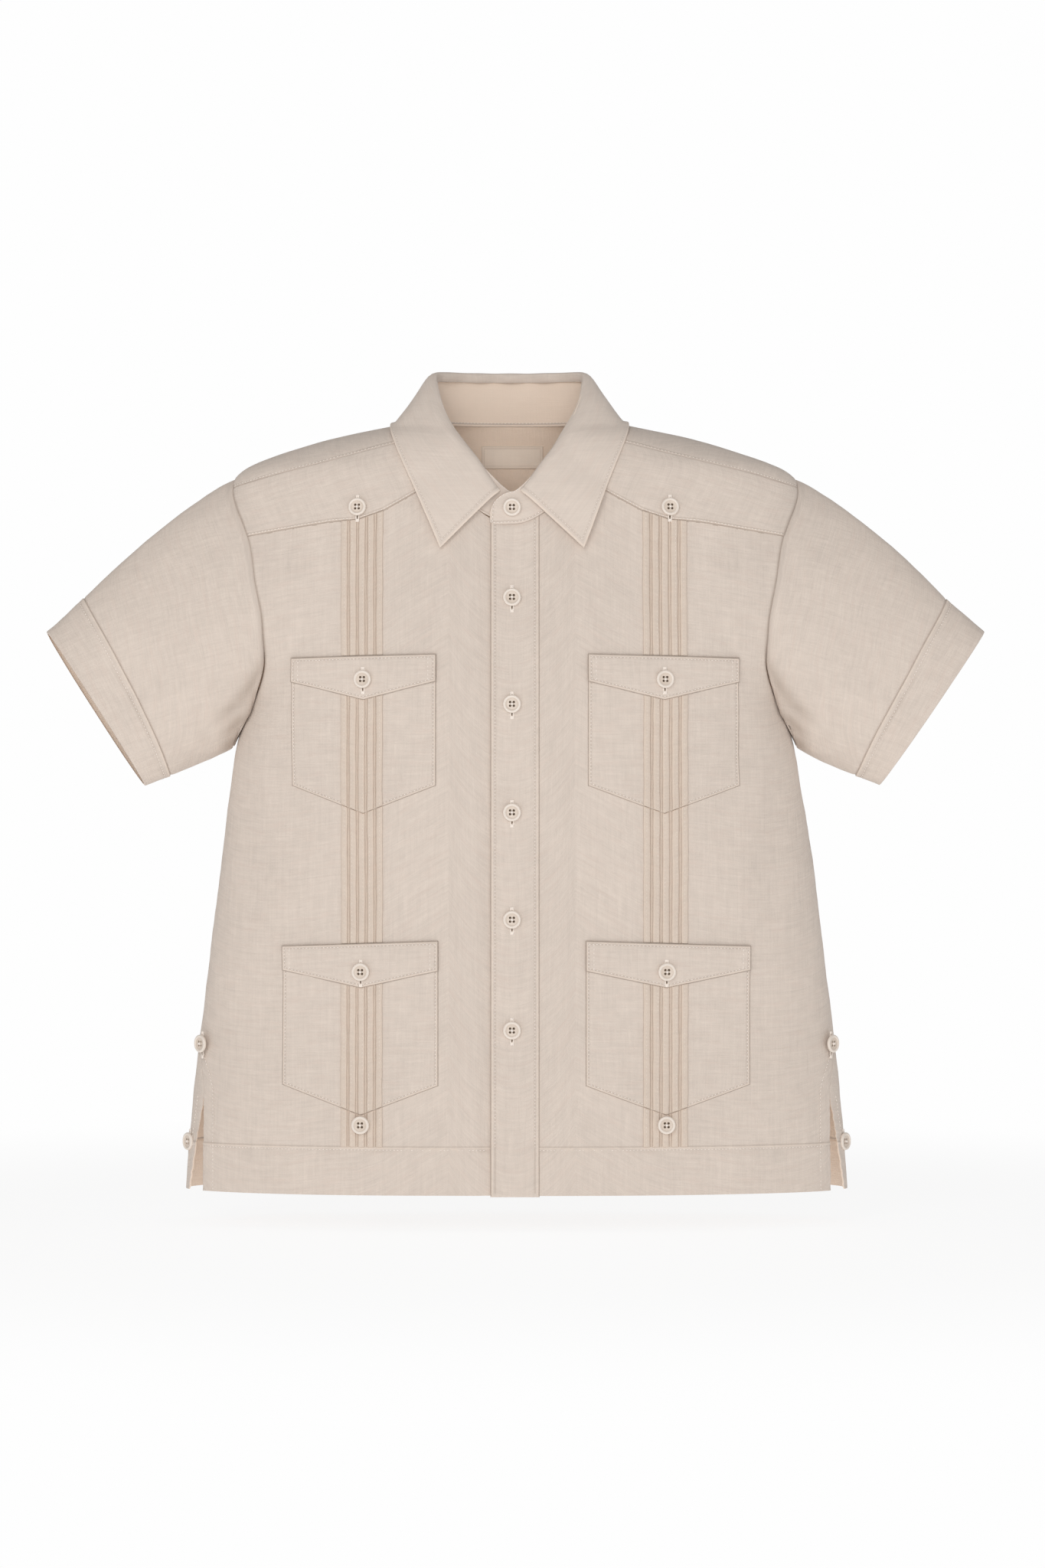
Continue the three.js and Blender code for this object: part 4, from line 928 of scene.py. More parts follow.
# ---------------------------------------------------------------- placket, pockets, flaps and tucks
def patch_grid(xs, top, bottom, mid_rows):
    """x and z of a patch's points, with close rows by its top and bottom edges, and distances to them."""
    xs = np.asarray(xs, float)
    hi, lo = np.asarray(top(xs), float), np.asarray(bottom(xs), float)
    border = np.array((0, *BORDER))
    up = hi[None] - border[:, None]
    down = lo[None] + border[::-1, None]
    mids = np.linspace(0, 1, mid_rows + 2)[1:-1, None]
    between = lerp(hi - BORDER[-1], lo + BORDER[-1], mids)
    z = np.concatenate((up, between, down))
    x = np.broadcast_to(xs, z.shape)
    return x, z, hi - z, z - lo


def patch(name, sign, xs, top, bottom, low, thick, mid_rows, puff, tucked):
    """A pocket or flap that stands off the front by low. A tucked one stays flat under its tucks."""
    x, z, from_top, from_low = patch_grid(xs, top, bottom, mid_rows)
    from_side = np.minimum(x - min(xs), max(xs) - x)
    nearest = np.minimum(from_side, np.minimum(from_top, from_low))
    lift, seam = raised(nearest, thick)
    lift = lift + dip(nearest, POCKET_STITCH)
    # Painted shade along the stitches, on top of the painted shadow line and highlight round the edge.
    seam = seam + STITCH_SHADE * pinch(nearest - POCKET_STITCH, 0.4)
    aside = smooth(17, 28, np.abs(x - TUCK_X)) if tucked else 1
    uneven = 0.75 + 0.5 * ripple(on_front(x * sign, z, 0), 45, 31)
    lift = lift + puff * aside * smooth(1.5, 16, nearest) * uneven
    lift = lift + pucker(nearest, x + z, 7.0, 0.06, 5) * smooth(0.5, 2, nearest)
    outer, inner = on_front(sign * x, z, low + lift), on_front(sign * x, z, low)
    placed(shell(name, outer, inner, CLOTH_MAT, seam=seam), name)


def placket():
    xs = bordered(PLACKET_LEFT, PLACKET_RIGHT, 2.2)
    x, z, from_top, from_low = patch_grid(
        xs, lambda x: neckline_z(x) - GAP, lambda x: np.full_like(x, HEM_Z - 0.8), 170
    )
    from_side = np.minimum(x - PLACKET_LEFT, PLACKET_RIGHT - x)
    nearest = np.minimum(from_side, from_low)
    lift, seam = raised(nearest, PLACKET_THICK)
    lift = lift + dip(from_side, PLACKET_STITCH)
    lift = lift + pucker(np.abs(from_side - PLACKET_STITCH), z, 8.0, 0.1, 3.5)
    # Painted shade along the stitches, on top of the painted shadow line and highlight of the placket's edges;
    # the bottom end gets none.
    seam = seam + STITCH_SHADE * pinch(from_side - PLACKET_STITCH, 0.4)
    lift = 0.08 + lift * lerp(0.35, 1, smooth(0.5, 3.5, from_top))
    base = PATCH_LIFT + 0.4 * in_hem(z)
    seam = np.where(from_low < from_side, 0, seam)
    outer, inner = on_front(x, z, base + lift), on_front(x, z, base)
    placed(shell("placket", outer, inner, CLOTH_MAT, seam=seam), "placket")
    for at in (PLACKET_LEFT + PLACKET_STITCH, PLACKET_RIGHT - PLACKET_STITCH):
        z = np.linspace(float(neckline_z(at)) - 2, HEM_Z + 1, 160)
        sew_on(np.full_like(z, at), z, PATCH_LIFT + PLACKET_THICK - THREAD_SUNK)


# Where columns stand across one tuck and the narrow fold beside it.
TUCK_PROFILE = (
    0, 0.1, 0.3, 0.7, 1.3, 2.1, 2.9, 3.5, 3.9, 4.1, 4.2, 4.33, 4.46, 4.6, 4.8, 5.05, 5.3, 5.45, 5.6,
)
NARROW_AT, NARROW_HALF = 5.05, 0.45


def tuck_height(local):
    """The tuck's own width is a flat fold, and beside it a narrow one lies lower."""
    fold = np.where(local <= TUCK_WIDE, rounded(np.minimum(local, TUCK_WIDE - local), 0.85), 0)
    arch = 0.5 * np.sqrt(np.clip(1 - ((local - NARROW_AT) / NARROW_HALF) ** 2, 0, 1))
    return np.maximum(fold, np.where((local > 4.6) & (local < 5.5), arch, 0))


def tucks(name, sign, top, bottom, low):
    width = (TUCK_COUNT - 1) * TUCK_PITCH + TUCK_WIDE
    start = TUCK_X - width / 2
    columns = [(i * TUCK_PITCH + t, t) for i in range(TUCK_COUNT) for t in TUCK_PROFILE]
    columns = [(at, t) for at, t in columns if at < (TUCK_COUNT - 1) * TUCK_PITCH or t <= TUCK_WIDE]
    xs = start + np.array([at for at, _ in columns])
    local = np.array([t for _, t in columns])
    mid = max(3, int((float(np.max(top(xs))) - float(np.min(bottom(xs)))) / 3.2))
    x, z, from_top, from_low = patch_grid(xs, top, bottom, mid)
    wave = 0.16 * np.sin(z * 0.13 + 3 * np.floor((x - start) / TUCK_PITCH)) + 0.1 * np.sin(z * 0.37 + x)
    ends = np.minimum(rounded(np.minimum(from_top, from_low), 0.4) / 0.4, 1)
    lift = (0.12 + tuck_height(local)[None]) * (0.25 + 0.75 * ends)
    outer = on_front(sign * (x + 0.6 * wave), z, low + lift + 0.05 * wave)
    inner = on_front(sign * (x + 0.6 * wave), z, low)
    # Painted shade in the grooves at both sides of each tuck, and painted highlights on the narrow fold and
    # just inside the tuck's edge.
    groove_shade_and_highlight = pinch(local - 4.36, 0.22) + 0.45 * pinch(local - 5.6, 0.15)
    groove_shade_and_highlight = groove_shade_and_highlight - 0.3 * pinch(local - NARROW_AT, 0.3)
    groove_shade_and_highlight = groove_shade_and_highlight + 0.45 * pinch(local, 0.15) - 0.25 * pinch(local - 0.6, 0.3)
    seam = np.broadcast_to(0.68 * groove_shade_and_highlight, z.shape)
    placed(shell(name, outer, inner, TUCK_MAT, seam=seam), name)
    for i in range(TUCK_COUNT):
        at = start + i * TUCK_PITCH + (1.9 if i in (0, 4) else 2.9 if i % 2 else 1.4)
        z = np.linspace(float(top(np.array([at]))[0]) - 1, float(bottom(np.array([at]))[0]) + 1, 40)
        sew_on(np.full_like(z, sign * at), z, low + 0.86, length=1.5, gap=1.1, half=0.19, high=0.15)


def pocket(name, sign, kind):
    """A pocket with its flap, tucks and stitches."""
    p = POCKETS[kind]
    point = p["point_x"]
    xs = bordered(p["inner"], p["outer"], 2.6, keys=(point,))
    top, low_edge = top_edge(p), chevron(p, "side", "point")
    flap_edge = chevron(p, "flap_side", "flap_point")
    patch(f"pocket_{kind}_{name}", sign, xs, top, low_edge, PATCH_LIFT, POCKET_THICK, 34, 0.35, True)
    patch(f"flap_{kind}_{name}", sign, xs, top, flap_edge, FLAP_LOW, FLAP_THICK, 6, 0.15, False)
    tucks(f"tucks_{kind}_pocket_{name}", sign, lambda x: flap_edge(x) + 0.2, lambda x: low_edge(x) + 0.7,
          PATCH_LIFT + POCKET_THICK + 0.08)
    inner, outer = p["inner"] + POCKET_STITCH, p["outer"] - POCKET_STITCH
    drop = 2.1
    on_pocket = PATCH_LIFT + POCKET_THICK - THREAD_SUNK
    on_flap = FLAP_LOW + FLAP_THICK - THREAD_SUNK
    round_pocket = [(x, low_edge(x) + drop) for x in (inner, point, outer)]
    round_flap = [(x, flap_edge(x) + drop) for x in (inner, point, outer)]
    corner = (inner, top(inner) - 2)
    rows = [
        ([(inner, flap_edge(inner) - 1), *round_pocket, (outer, flap_edge(outer) - 1)], on_pocket),
        ([corner, *round_flap, (outer, top(outer) - 2), corner], on_flap),
        *[([(x, top(x) - 2.2), (x, flap_edge(x) + 2.2)], on_flap) for x in (inner + 3.2, outer - 3.2)],
    ]
    for points, lift in rows:
        path = np.array(points, float)
        sew_on(sign * path[:, 0], path[:, 1], lift)


def front_tucks(name, sign):
    chest, waist = POCKETS["chest"], POCKETS["waist"]
    chest_low, waist_low = chevron(chest, "side", "point"), chevron(waist, "side", "point")
    strips = (
        ("top", lambda x: yoke_edge_z(x) + 0.2, top_edge(chest)),
        ("middle", lambda x: chest_low(x) + 0.4, top_edge(waist)),
        ("bottom", lambda x: waist_low(x) + 0.4, lambda x: np.full_like(x, TUCK_END_Z + 0.3)),
    )
    for at, top, bottom in strips:
        tucks(f"tucks_{at}_{name}", sign, top, bottom, PATCH_LIFT)


# ---------------------------------------------------------------- sleeves
SLEEVE_LONG, SLEEVE_DEGREE = 118, 0.75  # mm along a sleeve, and mm to a degree round it
BAND_AT = 1 - CUFF_WIDE / SLEEVE_LONG
UNDERARM_DROP, UNDERARM_REACH = 20, 0.14
# Shaded folds under the arm: from (angle, along) to (angle, along), half width in mm and darkness.
SLEEVE_SHADES = [
    (122, 0.0, 134, 0.4, 4, 0.7), (146, 0.0, 146, 0.36, 4, 0.8), (166, 0.0, 160, 0.36, 6, 1.0),
    (238, 0.0, 226, 0.4, 5, 0.5), (214, 0.0, 214, 0.36, 4, 0.8), (194, 0.0, 200, 0.36, 6, 1.0),
]
# Creases, placed like the shaded folds, with their height.
SLEEVE_CREASES = [
    (168, 0.02, 120, 0.42, 4.5, -1.5), (160, 0.0, 100, 0.6, 6, 1.1), (192, 0.02, 236, 0.45, 6, -1.2),
    (150, 0.02, 126, 0.3, 3.5, 1.0), (138, 0.03, 104, 0.26, 4, -0.9), (172, 0.16, 150, 0.6, 4, 1.0),
    (200, 0.0, 262, 0.62, 7, 1.0), (60, 0.05, 74, 0.5, 7, 0.6), (300, 0.05, 286, 0.55, 8, 0.7),
    (20, 0.1, 28, 0.6, 8, -0.5), (340, 0.1, 330, 0.65, 8, -0.5), (140, 0.45, 128, 0.98, 6, 0.6),
    (222, 0.45, 232, 0.98, 6, 0.7), (96, 0.5, 92, 0.99, 7, -0.5), (262, 0.5, 268, 0.99, 7, -0.6),
]


def sleeve_line(name, angle, along):
    """Points of a sleeve: angle is as on the armhole, and along is 0 at the armhole and 1 at the hem."""
    sign, shear = SIDES[name], CUFF_SHEAR[name]
    angle, along = np.broadcast_arrays(np.asarray(angle, float), np.asarray(along, float))
    turn, z = armhole(angle)
    start = body(turn, z)
    start[..., 0] -= DRIFT_TOP
    end = np.array((CUFF_X, 0, CUFF_Z)) + CUFF_UP * (CUFF_HALF * cosd(angle))[..., None]
    end[..., 1] -= CUFF_DEEP * sind(angle)
    end = end - CUFF_OUT * (shear * sind(angle))[..., None]
    low = (1 - cosd(angle)) / 2
    leave = np.stack((lerp(119, 20, low), np.zeros_like(low), lerp(-48, -85, low)), -1)
    arrive = CUFF_OUT * lerp(110, 75, low)[..., None]
    arrive[..., 2] -= lerp(18, -8, low)
    point = hermite(start, leave, end, arrive, along[..., None])
    # Under the arm the spare cloth hangs against the shirt's side.
    slack = smooth(0.86, 1, low) * smooth(0, 0.045, along) * np.exp(-np.maximum(along, 0) / UNDERARM_REACH)
    point[..., 2] -= UNDERARM_DROP * slack
    x, y, height = point[..., 0], point[..., 1], point[..., 2]
    deep = np.where(y > 0, column(height, BACK), column(height, FRONT))
    side = column(height, HALF) * np.maximum(0, 1 - (y / deep) ** 2) ** (1 / BODY_POWER)
    keep = side + 2.6 * np.clip(along * 12, 0.2, 1)
    beside = (height < ARM_BOTTOM_Z + 40) & (height < z)
    point[..., 0] = sign * np.where(beside, np.maximum(x, keep), x) + DRIFT_TOP * (1 - low * along)
    return point


def ring_normals(grid):
    """Outward normals of a tube's rings."""
    normal = grid_normals(grid, True)
    outward = np.einsum("ijk,ijk->", normal, grid - grid.mean(axis=1, keepdims=True))
    return normal if outward > 0 else -normal


def with_folds(total, table, angle, along):
    """total with a sleeve's table of folds added, on the sleeve laid flat."""
    for a0, s0, a1, s1, wide, amount in table:
        ends = (a0 * SLEEVE_DEGREE, s0 * SLEEVE_LONG, a1 * SLEEVE_DEGREE, s1 * SLEEVE_LONG)
        fold = near_line((angle % 360) * SLEEVE_DEGREE, along * SLEEVE_LONG, *ends, wide)
        total = total + amount * fold
    return total


def sleeve_wrinkle(name, grid, angle, along):
    seed = 40 if name == "left" else 50
    total = 0.5 * ripple(grid, 70, seed) + 0.2 * ripple(grid, 28, seed + 1)
    total = total + 0.06 * ripple(grid, 11, seed + 2)
    return with_folds(total, SLEEVE_CREASES, angle, along)


def tube(name, side, alongs, thick, lift_of, inner_of):
    """A closed ring of cloth over part of a sleeve. Both functions are given the distances from its ends."""
    angles = np.arange(0, 360, 2.6)
    angle, along = np.meshgrid(angles, alongs)
    grid = sleeve_line(side, angle, along)
    normal = ring_normals(grid)
    steps = np.linalg.norm(np.diff(grid, axis=0, prepend=grid[:1]), axis=-1)
    from_start = np.cumsum(steps, 0)
    from_end = from_start[-1:] - from_start
    off = sleeve_wrinkle(side, grid, angle, along) * smooth(0, 0.12, along)
    lift = off + lift_of(from_start, from_end, angle)
    outer = grid + normal * lift[..., None]
    inner = grid + normal * (lift - thick - inner_of(from_start, from_end))[..., None]
    if thick == WALL:
        under = (1 - cosd(angle)) / 2
        # Painted shade along the armhole seam and the band's edge, under the arm, and in the folds under the
        # arm.
        seam = (0.8 - 0.4 * under) * pinch(from_start - 0.7, 0.6) + 0.7 * pinch(from_end, 0.6)
        seam = seam + 0.15 * smooth(0.55, 1, under) * np.exp(-((along / 0.3) ** 2))
        seam = with_folds(seam, SLEEVE_SHADES, angle, along)
    else:
        # On the band, painted shade along its top edge and its stitches, and a painted highlight just below
        # its top edge.
        seam = 0.7 * pinch(from_start, 0.4) - 0.4 * pinch(from_start - 0.9, 0.4)
        seam = seam + STITCH_SHADE * pinch(from_start - BAND_STITCH, 0.5)
    placed(shell(name, outer, inner, CLOTH_MAT, around=True, seam=seam), name)
    return grid, normal, off, from_start, angles


def sleeve(name):
    mid = np.linspace(0.05, BAND_AT - 0.03, 34)
    start = np.array((-0.012, -0.004, 0, 0.003, 0.007, 0.012, 0.018, 0.026, 0.036))
    end = np.array((-0.02, -0.012, -0.007, -0.003, 0.002)) + BAND_AT

    def body_lift(from_start, from_end, angle):
        return -1.0 * np.exp(-((from_start / 1.6) ** 2)) - 0.5 * np.exp(-((from_end / 1.1) ** 2))

    tube(f"sleeve_{name}", name, np.concatenate((start, mid, end)), WALL, body_lift, lambda a, b: 0)

    band = bordered(0, CUFF_WIDE, 1.9) / CUFF_WIDE * (1 - BAND_AT) + BAND_AT

    def band_lift(from_start, from_end, angle):
        edge = np.minimum(from_start, from_end)
        wave = pucker(np.abs(from_start - 4), angle * SLEEVE_DEGREE, 9.0, 0.12, 7)
        return rounded(edge, 0.8) - 0.35 + dip(from_start, BAND_STITCH) + wave

    grid, normal, off, from_start, angles = tube(
        f"sleeve_band_{name}", name, band, 0.75, band_lift, lambda a, b: 0.15 - rounded(np.minimum(a, b), 0.4)
    )
    closed = np.arange(len(angles) + 1) % len(angles)
    path = []
    for c in closed:
        row = np.interp(BAND_STITCH, from_start[:, c], np.arange(len(band)))
        r = int(row)
        point = lerp(grid[r, c], grid[r + 1, c], row - r)
        lift = lerp(off[r, c], off[r + 1, c], row - r) + 0.36
        path.append(point + normal[r, c] * lift)
    sew(np.array(path), normal[0][closed])


# ---------------------------------------------------------------- collar
STAND_THICK, LEAF_THICK = 1.1, 1.15
# The leaf's edge from the centre back to the point: how far round the fold it is opposite, and x, y and z.
LEAF_EDGE = np.array([
    (0, 0, 54, -5.5), (0.25, 46, 46, -4), (0.5, 70.8, 6, -4.0), (0.62, 75.4, -26, -8.8),
    (0.82, 60.5, -49, -46), (1, 45.4, -55.5, -84),
], float)
# The leaf's way up inside the stand and over the fold: out from the fold line, and up from it.
LEAF_ROLL = [(-2.5, -6.4), (-2.6, -4.6), (-2.55, -2.6), (-1.7, -0.9), (0.2, -0.1), (2.1, -0.7)]


LEAF_END_DROP = (1.1, 0, 4.2)  # how far the fold line comes down and across at the leaf's ends


def stand_base(turn):
    """Points on the neckline under the stand."""
    turn = np.asarray(turn, float)
    round_ = np.abs(turn) - 90
    p = body(*neckline(np.where(round_ > 90, 180 - round_, round_)))
    p[..., 0] *= np.where(round_ > 90, -1, 1) * np.where(turn < 0, -1, 1)
    return p


def fold_point(turn):
    """Points on the line that the collar folds over."""
    turn = np.asarray(turn, float)
    round_ = np.abs(turn) - 90
    s = sind(round_)
    folded = np.where(round_ > 90, 180 - round_, round_)
    drop = (folded + np.hypot(folded, FOLD_SOFT)) / 2
    x = np.where(turn < 0, -1, 1) * FOLD_HALF * cosd(round_) + COLLAR_SHIFT * (1 - smooth(40, 90, round_))
    return np.stack((x, -np.where(s > 0, FOLD_FRONT, FOLD_BACK) * s, FOLD_TOP_Z - FOLD_SLOPE * drop), -1)


def lap(turn):
    """The wearer's left end of the stand laps over the right one."""
    return np.where(turn > 0, 1, 0) * (CLOTH + 2 * GAP) * smooth(120, 165, np.abs(turn))


def outward(p):
    way = p * (1, 1, 0)
    return way / np.maximum(np.linalg.norm(way, axis=-1, keepdims=True), 1e-9)


def faced(grid, ways):
    """Normals of a grid, on the side of the given directions."""
    normal = grid_normals(grid)
    return normal * (1 if np.einsum("ijk,ijk->", normal, ways) > 0 else -1)


def leaf_edge(share):
    """Centripetal Catmull-Rom through the edge table."""
    p = LEAF_EDGE[:, 1:]
    p = np.concatenate((2 * p[:1] - p[1:2], p, 2 * p[-1:] - p[-2:-1]))
    knots = np.concatenate(((0,), np.cumsum(np.sqrt(np.linalg.norm(np.diff(p, axis=0), axis=1)))))
    i = np.clip(np.searchsorted(LEAF_EDGE[:, 0], share, side="right") - 1, 0, len(LEAF_EDGE) - 2)
    t = (share - LEAF_EDGE[i, 0]) / (LEAF_EDGE[i + 1, 0] - LEAF_EDGE[i, 0])
    k = [knots[i + n] for n in range(4)]
    q = [p[i + n] for n in range(4)]
    u = (k[1] + (k[2] - k[1]) * t)[..., None]
    k = [a[..., None] for a in k]

    def blend(a, b, ka, kb):
        return (a * (kb - u) + b * (u - ka)) / (kb - ka)

    first = [blend(q[n], q[n + 1], k[n], k[n + 1]) for n in range(3)]
    second = [blend(first[n], first[n + 1], k[n], k[n + 2]) for n in range(2)]
    return blend(second[0], second[1], k[1], k[2])


def kept_off(p, distance):
    """Moves points out until they are a distance from the body's plain surface."""

    def level(q):
        deep = np.where(q[..., 1] > 0, column(q[..., 2], BACK), column(q[..., 2], FRONT))
        return np.abs(q[..., 0] / column(q[..., 2], HALF)) ** BODY_POWER + (q[..., 1] / deep) ** 2 - 1

    for _ in range(4):
        slope = np.stack([(level(p + step) - level(p - step)) / 0.4 for step in np.eye(3) * 0.2], -1)
        steep = np.maximum(np.linalg.norm(slope, axis=-1), 1e-6)
        away = level(p) / steep
        push = np.where(away < distance, np.minimum(distance - away, 6), 0)
        p = p + slope / steep[..., None] * push[..., None]
    return p


STAND_LEVEL_TURN = 173.5  # past it the stand's top edge goes on down
STAND_DEGREE = 0.94  # mm to a degree round the stand's ends
STAND_REACH = 0.93  # share of the way to the fold line that the stand goes up
STAND_CORNER, STAND_HIGH = 14.5, 25


def collar_stand():
    end = 180 + STAND_OVERLAP
    high = 30.0
    tips = np.array(BORDER) / STAND_DEGREE
    turns = spaced(-end, end, 2.4, [*(end - tips), *(tips - end), end - 6, 6 - end])
    rows = bordered(0, high, 1.8) / high
    turn, v = np.meshgrid(turns, rows)
    base, top = stand_base(turn), fold_point(turn)
    # The top edge of each end goes on down instead of following the fold line up again.
    past = np.maximum(np.abs(turn) - STAND_LEVEL_TURN, 0)
    level = fold_point(STAND_LEVEL_TURN)[2] - 2.9 * smooth(0, 5, past) - 0.05 * past
    top[..., 2] = np.where(past > 0, level, top[..., 2])
    from_end = (end - np.abs(turn)) * STAND_DEGREE
    rise = np.linalg.norm(top - base, axis=-1) * STAND_REACH
    inset = np.maximum(STAND_CORNER - from_end, 0)
    cut = STAND_CORNER - np.sqrt(np.maximum(STAND_CORNER**2 - inset**2, 0))
    reach = STAND_REACH * (1 - cut * 0.9 / rise)
    mid = lerp(base, top, (v * reach)[..., None])
    covers = 1 - smooth(150, 166, np.abs(turn)) + np.where(turn > 0, smooth(150, 172, turn), 0)
    mid[..., 2] -= (0.75 * covers - 0.5 * (1 - covers)) * (1 - smooth(0, 0.2, v))
    mid[..., 2] -= 2.3 * smooth(181, end, turn) * (1 - smooth(0, 0.7, v))  # the lapped end droops
    away = outward(mid)
    wave = 0.35 * ripple(mid, 30, 61) * np.sin(math.pi * v)
    mid = mid + away * (lap(turn) + wave)[..., None]
    normal = faced(mid, away)
    from_low, from_top = v * rise, (1 - v) * rise
    edge = np.minimum(np.minimum(from_low, from_top), from_end)
    stitched = dip(from_low, COLLAR_STITCH, 0.15)
    out = 0.25 + rounded(edge, 0.5) - 0.5 + stitched + dip(from_end, COLLAR_STITCH, 0.15)
    thick = STAND_THICK * (0.55 + 0.45 * rounded(edge, 0.6) / 0.6)
    outer = mid + normal * out[..., None]
    inner = mid + normal * (out - thick - stitched)[..., None]
    # Painted shade along the stand's base and its stitches, and a painted highlight just inside its edges.
    lines = [STITCH_SHADE * pinch(distance - COLLAR_STITCH, 0.4) for distance in (from_low, from_end)]
    seam = 0.9 * pinch(from_low, 0.4) + (lines[0] + lines[1]) - 0.4 * pinch(edge - 0.5, 0.35)
    seam = seam + 0.5 * smooth(158, 174, -turn)  # the end underneath, in the shade of the other
    placed(shell("collar_stand", outer, inner, COLLAR_MAT, seam=seam), "collar_stand")

    cols = np.arange(0, len(turns) - 1, 0.5)
    low_row = np.interp(COLLAR_STITCH, rows * STAND_HIGH, np.arange(len(rows)))
    sew(*grid_path(inner + normal * 0.05, -normal, np.full_like(cols, low_row), cols))
    front = cols[cols > np.interp(120, turns, np.arange(len(turns)))]
    sew(*grid_path(outer, normal, np.full_like(front, low_row), front))
    end_col = np.interp(end - 1.7, turns, np.arange(len(turns)))
    up = np.linspace(low_row, len(rows) - 4, 12)
    sew(*grid_path(outer, normal, up, np.full_like(up, end_col)))
    over = cols[cols > np.interp(168, turns, np.arange(len(turns)))]
    over = over[over < end_col]
    sew(*grid_path(outer, normal, np.full_like(over, len(rows) - 4.5), over))


def collar_leaf():
    width, depth = 420.0, 48.0
    shares = (bordered(0, width, 2.6) / width) * 2 - 1
    edge_v = bordered(0, depth, 1.9, low=False)[1:] / depth
    share, v = np.meshgrid(shares, np.concatenate((np.full(len(LEAF_ROLL), -1), edge_v)))
    side = np.where(share < 0, -1, 1)
    turn = side * np.abs(share) * (90 + LEAF_END)
    base, fold = stand_base(turn), fold_point(turn)
    fold -= smooth(0.88, 1, np.abs(share))[..., None] * LEAF_END_DROP
    away = outward(fold)
    rise = fold - base
    rise /= np.linalg.norm(rise, axis=-1, keepdims=True)
    over = lap(turn)[..., None]
    edge = leaf_edge(np.abs(share))
    edge[..., 0] = side * edge[..., 0] + COLLAR_SHIFT * (1 - smooth(0.7, 1, np.abs(share)))
    start = fold + away * (3.3 + over)
    belly = np.sin(math.pi * np.clip(v, 0, 1)) * lerp(3.5, 0.5, smooth(0.1, 0.5, np.abs(share)))
    grid = lerp(start, edge, np.clip(v, 0, 1)[..., None]) + away * (belly * 0.6)[..., None]
    grid[..., 2] += belly * 0.5 - 0.9 * np.exp(-((v / 0.08) ** 2))
    grid = kept_off(grid, 2.25)
    for r, (out, up) in enumerate(LEAF_ROLL):
        grid[r] = (fold + away * (out + over) + rise * up)[r]
    from_edge = (1 - np.clip(v, 0, 1)) * depth
    from_front = (1 - np.abs(share)) * width / 2
    nearest = np.minimum(from_edge, from_front)
    bumps = 0.35 * ripple(grid, 55, 71) + 0.12 * ripple(grid, 22, 72)
    bumps = bumps + pucker(np.abs(nearest - LEAF_STITCH), share * 200, 3.0, 0.1, 4)
    rolls = np.array([[0.6], [0.8], [0.6], [0.25], [0.06], [0.03]])
    pleats = np.zeros_like(v)
    pleats[: len(LEAF_ROLL)] = rolls * ripple(grid[: len(LEAF_ROLL)] * (1, 0.3, 0.1), 14, 75)
    normal = faced(grid, np.where((v < 0)[..., None], rise, away))
    out = bumps * smooth(0, 0.2, v) + pleats + rounded(nearest, 0.55) - 0.55 + dip(nearest, LEAF_STITCH, 0.16)
    thick = LEAF_THICK * (0.4 + 0.6 * rounded(nearest, 0.6) / 0.6)
    outer = grid + normal * out[..., None]
    inner = grid + normal * (out - thick)[..., None]
    # Painted shade along the stitches, a painted highlight just inside the edges, and painted shade on the
    # first row, down inside the stand.
    seam = STITCH_SHADE * 0.8 * pinch(nearest - LEAF_STITCH, 0.45) - 0.4 * pinch(nearest - 0.6, 0.45)
    seam[0] = 0.4
    placed(shell("collar_leaf", outer, inner, COLLAR_MAT, seam=seam), "collar_leaf")

    last_col = grid.shape[1] - 1
    row = np.interp(depth - LEAF_STITCH, edge_v * depth, np.arange(len(edge_v))) + len(LEAF_ROLL)
    col = np.interp(LEAF_STITCH, (shares + 1) * width / 2, np.arange(len(shares)))
    cols = np.linspace(col, last_col - col, 500)
    sew(*grid_path(outer, normal, np.full_like(cols, row), cols), high=0.2, half=0.2)
    for at in (col, last_col - col):
        rows = np.linspace(len(LEAF_ROLL) + 1, row, 40)
        sew(*grid_path(outer, normal, rows, np.full_like(rows, at)), high=0.2, half=0.2)


LABEL_WIDE, LABEL_HIGH, LABEL_TOP = 40, 14.6, -12.5


def label():
    xs = bordered(-LABEL_WIDE / 2, LABEL_WIDE / 2, 2)
    zs = LABEL_TOP - bordered(0, LABEL_HIGH, 1.5)
    x, z = np.meshgrid(xs, zs)
    nearest = np.minimum(LABEL_WIDE / 2 - np.abs(x), np.minimum(LABEL_TOP - z, z - LABEL_TOP + LABEL_HIGH))
    rim = 0.16 * np.exp(-(((nearest - 0.5) / 0.35) ** 2)) + 0.12 * np.exp(-(((nearest - 1.5) / 0.25) ** 2))
    off = -WALL - 0.2
    back = lifted(180 - turn_at(x, z), z, off)
    front = lifted(180 - turn_at(x, z), z, off - 0.35 - rim)
    border = 0.7 * pinch(nearest - 0.2, 0.5) + 0.6 * pinch(nearest - 1.7, 0.3)
    placed(shell("label", front, back, LABEL_MAT, seam=border, inside=0), "label")


# ---------------------------------------------------------------- buttons
BUTTON_RIM_R, BUTTON_HOLE_R, BUTTON_HOLE_AT = 3.8, 0.8, 1.15
BUTTONHOLE_TOP, BUTTONHOLE_LOW = 7.5, -9.2
SIDE_BUTTONS = [("upper", 200.5, -17, -397.5, 50), ("lower", 209, -6, -460.5, 56)]  # x, y, z and turn
hole_shades = []  # corners of the dark patches of painted shade inside buttonholes and behind the holes of buttons
